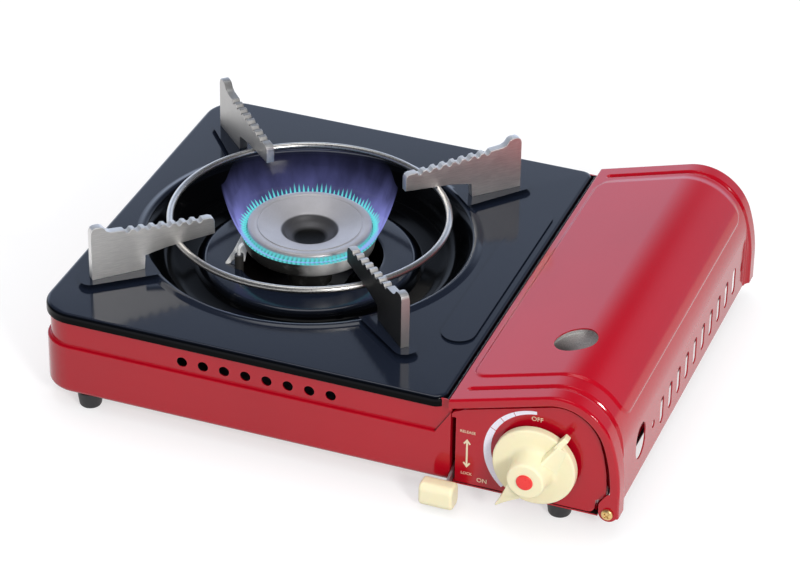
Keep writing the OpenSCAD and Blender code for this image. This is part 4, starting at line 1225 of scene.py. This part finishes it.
class STOVE_OT_burner(bpy.types.Operator):
    """Builds the burner's cap and bowl and the forked spark target"""

    bl_idname = "stove.burner"
    bl_label = "Burner"

    def execute(self, context):
        colours = context.scene.stove_colours
        bm = bmesh.new()
        lathe(
            bm,
            [
                (0.0, 50.4), (6.0, 50.5), (8.5, 51.0), (9.4, 51.6), (12.8, 53.0), (14.8, 54.4),
                (15.7, 55.9), (16.6, 56.6), (17.6, 56.9), (29.6, 60.8), (30.1, 60.9), (30.4, 60.6),
                (30.8, 60.5), (31.2, 60.7), (31.5, 61.0), (34.6, 61.0), (35.5, 60.75), (36.0, 60.2),
                (36.15, 59.4), (36.15, 57.9), (34.4, 57.8), (34.4, 53.0), (32.5, 53.0), (32.5, 58.0),
                (30.0, 58.0), (16.6, 54.2), (14.2, 53.0), (7.0, 49.8), (0.0, 49.3),
            ],
            WELL,
            steps=128,
            closed=False,
        )
        finished(
            "burner_top", bm, cast_metal("cast alloy"), "stove", ["burner_cap"],
            crease=50, even=False,
        )
        bm = bmesh.new()
        lathe(
            bm,
            [
                (13.0, 24.0), (13.0, 43.2), (15.0, 44.2), (33.6, 46.0), (35.2, 46.4), (36.6, 47.2),
                (37.7, 48.4), (39.3, 55.6), (39.25, 56.2), (38.9, 56.4), (38.2, 56.4), (37.8, 56.0),
                (37.8, 53.0), (33.0, 53.0), (33.0, 51.5), (34.0, 48.6), (32.5, 47.4), (14.0, 45.6),
                (11.5, 44.0), (11.5, 24.0),
            ],
            WELL,
            steps=128,
        )
        finished(
            "burner_cup", bm, self.bowl_steel(colours), "stove", ["burner_bowl"], crease=50,
            even=False,
        )
        self.spark_target(
            brushed_steel("target steel", (0.88, 0.87, 0.84), rough=0.35, stretch=4.0, metallic=0.3)
        )
        return {"FINISHED"}

    def bowl_steel(self, colours):
        """Pressed steel with painted light: bright where it faces the key light, and painted dark as
        painted shade on the left and under the bowl.
        """
        bright = tuple(colours.bowl)
        made = brushed_steel("burner steel", bright, rough=0.4, stretch=4.0, metallic=0.15)
        tree = made.node_tree
        shader = tree.nodes["Principled BSDF"]
        worn = shader.inputs["Base Color"].links[0].from_socket
        place = object_place(tree)
        # Painted light and shade: bright towards the key light at the front right, painted near black on
        # the left and below the bowl's floor.
        turn = turn_round_well(tree, place)
        lit = maths(
            tree, "MULTIPLY", remap(tree, turn, 0.28, 0.35), remap(tree, turn, 0.43, 0.395, 0.25, 1.0)
        )
        height = upward(tree, place)
        floor = (STOVE @ Vector((0, 0, 46.6))).z
        lit = maths(tree, "MULTIPLY", lit, remap(tree, height, floor, floor + 0.0012))
        patches = noise(tree, place, 160.0, 4.0)
        lit = maths(tree, "ADD", lit, remap(tree, patches, 0.45, 0.75, -0.06, 0.12), clamp=True)
        feed(tree, shader, {"Base Color": blend_colour(tree, lit, (0.025, 0.024, 0.022, 1.0), worn)})
        return made

    def spark_target(self, steel):
        """A sloping strip with a forked, rounded end, from the bowl's rim down to the well."""
        bm = bmesh.new()
        top, foot = Vector((80.0, 116.0, 53.6)), Vector((77.2, 104.6, 41.4))
        along = (top - foot).normalized()
        across_top, across_foot = Vector((0.99, -0.1, 0)), Vector((0.93, 0.36, 0))
        neck = foot + along * 5.5
        rim = [
            (-5.4, -0.6), (-5.0, -1.6), (-3.2, -1.6), (-2.2, -0.2), (-1.0, 2.2), (0.6, 3.2), (2.2, 2.6),
            (3.4, 0.8), (4.6, 0.0), (5.4, 0.8),
        ]
        points = [top - across_top * 3.2, top + across_top * 3.2, neck + across_foot * 4.2]
        points += [foot + across_foot * u + along * w for u, w in reversed(rim)]
        points += [neck - across_foot * 4.0]
        face_of(bm, points)
        pull(bm, list(bm.faces), (0, 0, -1.1))
        cleaned(bm)
        soften(bm, sharp_edges(bm, 50), 0.3, 2)
        finished("spark_target", bm, steel, "stove", ["ignition_tab"])


# ---------------------------------------------------------------- flame


def flame_material(name, tint, strength, low, high, breakup, stripes=0, limb=False):
    """Glowing, see-through gas flame that fades with height, and that is gone where it lies flat."""
    made = bpy.data.materials.new(name)
    made.use_nodes = True
    tree = made.node_tree
    tree.nodes.clear()
    place = object_place(tree)
    height = upward(tree, place)
    fade = add(
        tree,
        "ShaderNodeMapRange",
        {"Value": height, "From Min": high, "From Max": low, "To Min": 0.0, "To Max": 1.0},
        interpolation_type="SMOOTHSTEP",
    ).outputs["Result"]
    stretched = add(tree, "ShaderNodeMapping", {"Vector": place, "Scale": (1.0, 1.0, 0.35)}).outputs[0]
    torn = remap(tree, noise(tree, stretched, 90.0, 3.0), 0.35, 0.65, 1.0 - breakup, 1.0)
    facing = upward(tree, add(tree, "ShaderNodeNewGeometry").outputs["True Normal"])
    upright = remap(tree, maths(tree, "ABSOLUTE", facing), 0.995, 0.9)
    alpha = maths(tree, "MULTIPLY", maths(tree, "MULTIPLY", fade, torn), upright, clamp=True)
    if limb:
        # A thin shell of gas is seen through more of itself at its edges.
        edge = add(tree, "ShaderNodeLayerWeight", {"Blend": 0.5}).outputs["Facing"]
        alpha = maths(
            tree, "MULTIPLY", alpha, remap(tree, maths(tree, "POWER", edge, 2.2), 0.0, 1.0, 0.15, 0.95)
        )
    if stripes:
        turn = turn_round_well(tree, place)
        wave = maths(tree, "SINE", maths(tree, "MULTIPLY", turn, 2 * pi * stripes))
        alpha = maths(tree, "MULTIPLY", alpha, remap(tree, wave, -0.8, 0.5, 0.45, 1.0))
    glow = add(tree, "ShaderNodeEmission", {"Color": opaque(tint), "Strength": strength})
    clear = add(tree, "ShaderNodeBsdfTransparent")
    mixed = add(tree, "ShaderNodeMixShader", {0: alpha, 1: clear.outputs[0], 2: glow.outputs[0]})
    add(tree, "ShaderNodeOutputMaterial", {"Surface": mixed.outputs[0]})
    return made


class STOVE_OT_flame(bpy.types.Operator):
    """Builds the gas flame round the burner"""

    bl_idname = "stove.flame"
    bl_label = "Flame"

    def execute(self, context):
        sizes = context.scene.stove_sizes
        colours = context.scene.stove_colours
        slit = 57.0
        base = (STOVE @ Vector((0, 0, slit))).z
        bm = bmesh.new()
        for i in range(sizes.jets):
            angle = 2 * pi * i / sizes.jets
            behind = 0.5 + 0.5 * sin(angle)
            group = 0.5 + 0.5 * sin(i * 1.05)
            tall = 4.2 + behind * (1.6 + 3.2 * group) + 0.7 * sin(i * 2.4)
            part = bmesh.new()
            lathe(
                part,
                [(0.0, 0.0), (0.5, 0.4), (0.62, tall * 0.3), (0.4, tall * 0.7), (0.0, tall)],
                ORIGIN,
                steps=8,
                closed=False,
            )
            lean = Matrix.Rotation(radians(68 - 44 * behind), 4, "Y")
            where = Matrix.Translation(WELL + Vector((0, 0, slit))) @ Matrix.Rotation(angle, 4, "Z")
            merge(bm, part, where @ Matrix.Translation((36.7, 0, 0)) @ lean)
        jets = flame_material("flame jets", tuple(colours.flame), 0.95, base, base + 0.009, 0.2)
        pieces = [self.flame("flame_jets", bm, jets)]
        bm = bmesh.new()
        root = [(36.4, 59.6), (37.2, 59.0), (38.2, 58.3), (39.1, 57.6), (39.9, 56.8)]
        lathe(bm, root, WELL, steps=144, closed=False)
        band = flame_material(
            "flame root", tuple(colours.flame), 0.8, base + 0.0018, base + 0.0035, 0.05, stripes=sizes.jets
        )
        pieces.append(self.flame("flame_root", bm, band))
        top = sizes.flame_height
        for number, (inner, flare, share) in enumerate(((37.2, 14.0, 1.0), (37.6, 7.5, 0.62))):
            bm = bmesh.new()
            section = [
                (inner + flare * t**0.55, slit + top * share * t)
                for t in (0, 0.05, 0.12, 0.2, 0.3, 0.42, 0.56, 0.7, 0.85, 1.0)
            ]
            lathe(bm, section, WELL, steps=144, closed=False)
            for v in bm.verts:
                flat = Vector((v.co.x - WELL.x, v.co.y - WELL.y, 0))
                angle = atan2(flat.y, flat.x)
                ahead = rise_between(sin(angle - radians(20)), -0.95, -0.1)
                tongue = (0.1 + 0.9 * ahead) * (
                    0.9 + 0.055 * sin(9 * angle + number) + 0.045 * sin(5 * angle + 1.3)
                )
                v.co.z = slit + (v.co.z - slit) * tongue
                closer = flat.normalized() * (flat.length - inner) * (tongue ** 0.5 - 1)
                v.co += closer
            veil = flame_material(
                "flame veil %d" % (number + 1), tuple(colours.veil), 1.1, base,
                base + MM * top * share, 0.45, limb=True,
            )
            pieces.append(self.flame("flame_veil_%d" % (number + 1), bm, veil))
        for piece in pieces:
            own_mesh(piece)
        return {"FINISHED"}

    def flame(self, name, bm, look):
        return finished(name, bm, look, "stove", crease=180.0, even=False)


# ---------------------------------------------------------------- knob and lever


class STOVE_OT_knob(bpy.types.Operator):
    """Builds the cream knob with its ridge, pointer and red dot"""

    bl_idname = "stove.knob"
    bl_label = "Knob"

    def execute(self, context):
        colours = context.scene.stove_colours
        front = Matrix.Translation((KNOB.x, 0, KNOB.z)) @ FACING_FRONT
        bm = bmesh.new()
        lathe(
            bm,
            [
                (23.5, 2.8), (23.5, 6.3), (23.35, 6.85), (22.95, 7.25), (22.2, 7.4), (15.4, 7.4),
                (13.6, 7.65), (12.4, 8.5), (11.6, 10.2), (11.1, 13.0), (10.75, 19.4), (10.6, 20.7),
                (10.15, 21.5), (9.3, 21.8), (5.1, 21.8), (0.0, 21.8),
            ],
            ORIGIN,
            steps=144,
            closed=False,
        )
        bm.transform(front)
        turn = Matrix.Translation((KNOB.x, 0, KNOB.z)) @ Matrix.Rotation(-radians(52), 4, "Y")
        level, lower = Matrix.Identity(4), Matrix.Rotation(radians(-2), 4, "Y")
        for part, width, low in (
            (self.ridge(), 0.6, level),
            (self.end_block(), 0.5, level),
            (self.pointer(), 0.8, lower),
        ):
            cleaned(part)
            soften(part, sharp_edges(part, 20), width, 3)
            merge(bm, part, turn @ low)
        finished("knob_body", bm, cream_plastic(), "knob", ["control_knob"], crease=50)
        bm = bmesh.new()
        dome = [(4.65, 21.4), (4.65, 22.2), (4.5, 22.55), (4.1, 22.72), (0.0, 22.78)]
        lathe(bm, dome, ORIGIN, steps=48, closed=False)
        bm.transform(front)
        red = plastic("red plastic", tuple(colours.dot), rough=0.3)
        finished("knob_dot", bm, red, "knob", ["knob_inlay"], crease=60)
        return {"FINISHED"}

    def ridge(self):
        """The ridge from the hub to the rim, steep on one side and with a soft slope on the other."""
        bm = bmesh.new()
        deep = KNOB_FRONT + 0.4
        face_of(
            bm,
            [
                (6, deep, 2.4), (6, -16.8, 0.9), (6, -17.0, -0.7), (6, -13.6, -5.0), (6, -9.6, -8.6),
                (6, deep, -12.0),
            ],
        )
        end = pull(bm, list(bm.faces), (17.0, 0, 0))
        for v in end[0].verts:
            v.co.y = deep + (v.co.y - deep) * 0.3
            v.co.z *= 0.5
        return bm

    def end_block(self):
        """The small square end of the ridge, just past the disc's rim."""
        bm = bmesh.new()
        face_of(bm, [(u, -2.9, w) for u, w in ((20.5, -1.7), (29.0, -1.7), (29.0, 1.7), (20.5, 1.7))])
        pull(bm, list(bm.faces), (0, -6.9, 0))
        for v in bm.verts:
            if v.co.x > 28 and v.co.y < -5:
                v.co.y = -8.0
        return bm

    def pointer(self):
        """The blade from the hub to its sharp tip."""
        bm = bmesh.new()
        sides = [(-2.0, 7.8), (-12.0, 4.6), (-22.0, 2.3), (-33.0, 0.35)]
        outline = sides + [(u, -w) for u, w in reversed(sides)]
        face_of(bm, [(u, -6.6, w) for u, w in outline])
        pull(bm, list(bm.faces), (0, -14.4, 0))
        for v in bm.verts:
            past_hub, past_rim = max(-10.0 - v.co.x, 0.0), max(-22.0 - v.co.x, 0.0)
            v.co.y += past_hub * 0.4 if v.co.y < -10 else -past_rim * 0.22
        return bm


class STOVE_OT_lever(bpy.types.Operator):
    """Builds the cream tip of the locking lever"""

    bl_idname = "stove.lever"
    bl_label = "Lever"

    def execute(self, context):
        low, high = stove_box("lever_tip")
        bm = bmesh.new()
        rectangle(bm, low, (low.x, high.y, high.z), 4.2)
        pull(bm, list(bm.faces), (high.x - low.x, 0, 0))
        cleaned(bm)
        soften(bm, sharp_edges(bm, 50), 1.8, 4)
        finished("lever_grip", bm, cream_plastic(), "lever", ["lever_tip"])
        return {"FINISHED"}


# ---------------------------------------------------------------- cartridge and feet


class STOVE_OT_cartridge(bpy.types.Operator):
    """Builds the gas can with its rolled rims, dome and collar"""

    bl_idname = "stove.cartridge"
    bl_label = "Cartridge"

    def execute(self, context):
        low, high = stove_box("cartridge_can")
        radius = (high.x - low.x) / 2
        front, back = low.y, high.y
        paint = plastic("can paint", (0.72, 0.73, 0.74), rough=0.28, depth=0.000005)
        lying = Matrix.Translation((CAN.x, 0, CAN.z)) @ Matrix.Rotation(radians(-90), 4, "X")
        shoulder = front + 17.0
        bm = bmesh.new()
        lathe(
            bm,
            [
                (radius - 1.9, shoulder + 2.5), (radius - 1.0, shoulder + 4.5),
                (radius - 1.0, back - 5.0), (radius - 1.5, back - 3.0),
            ],
            ORIGIN, steps=96, closed=False,
        )
        bm.transform(lying)
        finished("can_wall", bm, paint, "cartridge", ["cartridge_can"], even=False)
        bm = bmesh.new()
        lathe(
            bm,
            [
                (12.0, front), (12.4, front + 0.2), (13.0, front + 2.0), (15.5, front + 4.2),
                (20.0, front + 7.6), (25.0, front + 11.5), (28.5, front + 14.8), (30.6, front + 17.2),
                (31.6, front + 16.2), (32.6, front + 16.2), (radius, front + 17.0),
                (radius, front + 18.6), (32.2, front + 19.6), (31.1, front + 19.8),
            ],
            ORIGIN, steps=96, closed=False,
        )
        lathe(
            bm,
            [
                (0.0, back - 4.0), (16.0, back - 4.2), (27.0, back - 2.6), (30.4, back - 1.0),
                (31.0, back - 0.2), (31.8, back), (32.6, back - 0.3), (radius, back - 1.2),
                (radius, back - 2.6), (32.2, back - 3.6), (31.4, back - 4.0),
            ],
            ORIGIN, steps=96, closed=False,
        )
        bm.transform(lying)
        finished("can_ends", bm, can_tin(), "cartridge", even=False)
        return {"FINISHED"}


class STOVE_OT_feet(bpy.types.Operator):
    """Builds the four tapered rubber feet"""

    bl_idname = "stove.feet"
    bl_label = "Feet"

    def execute(self, context):
        low, high = stove_box("rubber_feet")
        rubber = plastic("black rubber", (0.018, 0.018, 0.02), rough=0.55, depth=0.00004)
        bm = bmesh.new()
        radius, height = 7.5, 10.0
        for x in (low.x + radius, high.x - radius):
            for y in (low.y + radius, high.y - radius):
                lathe(
                    bm,
                    [
                        (0.0, -height), (4.2, -height), (4.6, -height + 0.5), (radius - 2.4, -height),
                        (radius - 1.6, -height + 0.3), (radius - 1.1, -height + 1.2),
                        (radius - 0.1, -1.2), (radius, -0.6), (radius - 0.2, 0.0), (0.0, 0.0),
                    ],
                    Vector((x, y, 0)), steps=48, closed=False,
                )
        finished("feet_rubber", bm, rubber, "stove", ["rubber_feet"], crease=50, even=False)
        return {"FINISHED"}


class STOVE_OT_inner_works(bpy.types.Operator):
    """Gives the inner pieces of the CAD model their finishes"""

    bl_idname = "stove.inner_works"
    bl_label = "Inner works"

    def execute(self, context):
        zinc = brushed_steel("galvanised sheet", (0.56, 0.57, 0.58), rough=0.38, stretch=3.0)
        looks = {
            zinc: [
                "partition_wall", "cradle_rails", "governor_plate", "link_guides", "pusher_plate",
                "pusher_link", "lever_arm", "lever_stay", "burner_bridge",
            ],
            brass(): ["gas_nozzle", "valve_spindle", "lever_pin"],
            brushed_steel("copper", (0.80, 0.42, 0.26), rough=0.3, stretch=2.0): ["gas_pipe"],
            brushed_steel(
                "die cast", (0.5, 0.5, 0.51), rough=0.5, stretch=1.0, bump_depth=0.00006
            ): ["governor_block", "governor_cap"],
            plastic("sooty ceramic", (0.03, 0.028, 0.026), rough=0.5): ["electrode_insulator"],
            plastic("lead sleeve", (0.5, 0.04, 0.04), rough=0.5): ["ignition_lead"],
            plastic("black plastic", (0.02, 0.02, 0.022), rough=0.45): ["igniter_unit", "inlet_seal"],
            can_tin(): ["cartridge_collar", "cartridge_stem", "electrode_rod", "mixing_tube"],
        }
        for look, nodes in looks.items():
            for node in nodes:
                for held in bpy.data.objects[node].material_slots:
                    held.material = look
        return {"FINISHED"}


# ---------------------------------------------------------------- stage


class STOVE_OT_stage(bpy.types.Operator):
    """Builds the pale floor, the soft light and the camera"""

    bl_idname = "stove.stage"
    bl_label = "Stage"

    def execute(self, context):
        self.floor()
        self.surround(context.scene)
        for name, place, aim, size, power, tint in (
            ("key light", (1.55, -1.55, 1.15), (0.05, 0, 0.03), 0.45, 29.0, (1.0, 0.99, 0.97)),
            ("top light", (-0.3, 0.5, 3.0), (0, 0, 0), 1.6, 16.0, (0.97, 0.985, 1.0)),
        ):
            lamp = bpy.data.lights.new(name, "AREA")
            lamp.size = size
            lamp.energy = power
            lamp.color = tint
            made = in_scene(name, lamp)
            made.location = place
            made.rotation_euler = (Vector(aim) - Vector(place)).to_track_quat("-Z", "Y").to_euler()
        self.camera(context.scene)
        context.scene.view_settings.view_transform = "Standard"
        return {"FINISHED"}

    def floor(self):
        bm = bmesh.new()
        bmesh.ops.create_grid(bm, x_segments=1, y_segments=1, size=15.0)
        mesh = as_mesh(bm, "table")
        in_scene("table", mesh)
        made, tree, shader = material("pale table")
        feed(tree, shader, {
            "Base Color": (0.48, 0.48, 0.48, 1.0),
            "Roughness": 0.9,
            "Specular IOR Level": 0.0,
        })
        path = add(tree, "ShaderNodeLightPath")
        seen = maths(tree, "MAXIMUM", path.outputs["Is Camera Ray"], path.outputs["Is Transmission Ray"])
        seen = maths(tree, "MAXIMUM", seen, path.outputs["Is Glossy Ray"])
        lift = add(
            tree, "ShaderNodeEmission",
            {"Color": (1.0, 1.0, 1.0, 1.0), "Strength": maths(tree, "MULTIPLY", seen, 0.56)},
        )
        both = add(tree, "ShaderNodeAddShader", {0: shader.outputs[0], 1: lift.outputs[0]})
        tree.links.new(both.outputs[0], tree.nodes["Material Output"].inputs["Surface"])
        mesh.materials.append(made)

    def surround(self, scene):
        """Even light for matt surfaces; gloss sees a bright low wall behind and a dim room elsewhere."""
        world = bpy.data.worlds.new("studio")
        scene.world = world
        world.use_nodes = True
        tree = world.node_tree
        way = add(tree, "ShaderNodeTexCoord").outputs["Generated"]
        height = upward(tree, way)
        wall = add(tree, "ShaderNodeValToRGB", {0: height})
        ramp = wall.color_ramp
        wall_tint = (0.80, 0.93, 1.18)
        for place, level in (
            (0.0, 0.95), (0.31, 0.9), (0.45, 0.72), (0.53, 0.46), (0.6, 0.08), (0.72, 0.04)
        ):
            stop = ramp.elements[0] if place == 0.0 else ramp.elements.new(place)
            stop.color = shaded(wall_tint, level)
        ramp.elements[len(ramp.elements) - 1].color = (0.03, 0.034, 0.04, 1.0)
        turn = radians(CAMERA_AZIMUTH)
        behind = remap(tree, alike(tree, way, (-sin(turn), cos(turn), 0.0)), 0.4, 0.8)
        seen = blend_colour(tree, behind, (0.045, 0.047, 0.052, 1.0), wall.outputs[0])
        path = add(tree, "ShaderNodeLightPath")
        tone = blend_colour(tree, path.outputs["Is Glossy Ray"], (0.52, 0.53, 0.55, 1.0), seen)
        tree.links.new(tone, tree.nodes["Background"].inputs["Color"])
        tree.nodes["Background"].inputs["Strength"].default_value = 1.5

    def camera(self, scene):
        lens = bpy.data.cameras.new("camera")
        lens.lens = CAMERA_LENS
        lens.sensor_width = 36.0
        lens.sensor_fit = "HORIZONTAL"
        lens.clip_start, lens.clip_end = 0.05, 60.0
        azimuth, elevation, roll = radians(CAMERA_AZIMUTH), radians(CAMERA_ELEVATION), radians(CAMERA_ROLL)
        back = Vector((sin(azimuth) * cos(elevation), -cos(azimuth) * cos(elevation), sin(elevation)))
        right = Vector((cos(azimuth), sin(azimuth), 0.0))
        up = back.cross(right)
        side = right * cos(roll) + up * sin(roll)
        top = up * cos(roll) - right * sin(roll)
        turn = Matrix((side, top, back)).transposed().to_4x4()
        camera = in_scene("camera", lens)
        camera.matrix_world = Matrix.Translation(STOVE @ CAMERA_PLACE) @ turn
        scene.camera = camera


# ---------------------------------------------------------------- add-on


class STOVE_PT_sidebar(bpy.types.Panel):
    """Sizes and colours of the stove in the sidebar"""

    bl_label = "Portable gas stove"
    bl_idname = "STOVE_PT_sidebar"
    bl_space_type = "VIEW_3D"
    bl_region_type = "UI"
    bl_category = "Stove"

    def draw(self, context):
        layout = self.layout
        for group in (context.scene.stove_sizes, context.scene.stove_colours):
            column = layout.column(align=True)
            for name in group.__annotations__:
                column.prop(group, name)
        for step in STEPS:
            layout.operator(step.bl_idname)


STEPS = (
    STOVE_OT_box,
    STOVE_OT_top_plate,
    STOVE_OT_cover,
    STOVE_OT_bay,
    STOVE_OT_pan_support,
    STOVE_OT_burner,
    STOVE_OT_flame,
    STOVE_OT_knob,
    STOVE_OT_lever,
    STOVE_OT_cartridge,
    STOVE_OT_feet,
    STOVE_OT_inner_works,
    STOVE_OT_stage,
)
CLASSES = (StoveSizes, StoveColours, *STEPS, STOVE_PT_sidebar)


def register():
    for each in CLASSES:
        bpy.utils.register_class(each)
    bpy.types.Scene.stove_sizes = bpy.props.PointerProperty(type=StoveSizes)
    bpy.types.Scene.stove_colours = bpy.props.PointerProperty(type=StoveColours)


def unregister():
    del bpy.types.Scene.stove_colours
    del bpy.types.Scene.stove_sizes
    for each in reversed(CLASSES):
        bpy.utils.unregister_class(each)


def main():
    register()
    for step in STEPS:
        family, name = step.bl_idname.split(".")
        getattr(getattr(bpy.ops, family), name)()


if __name__ == "__main__":
    main()
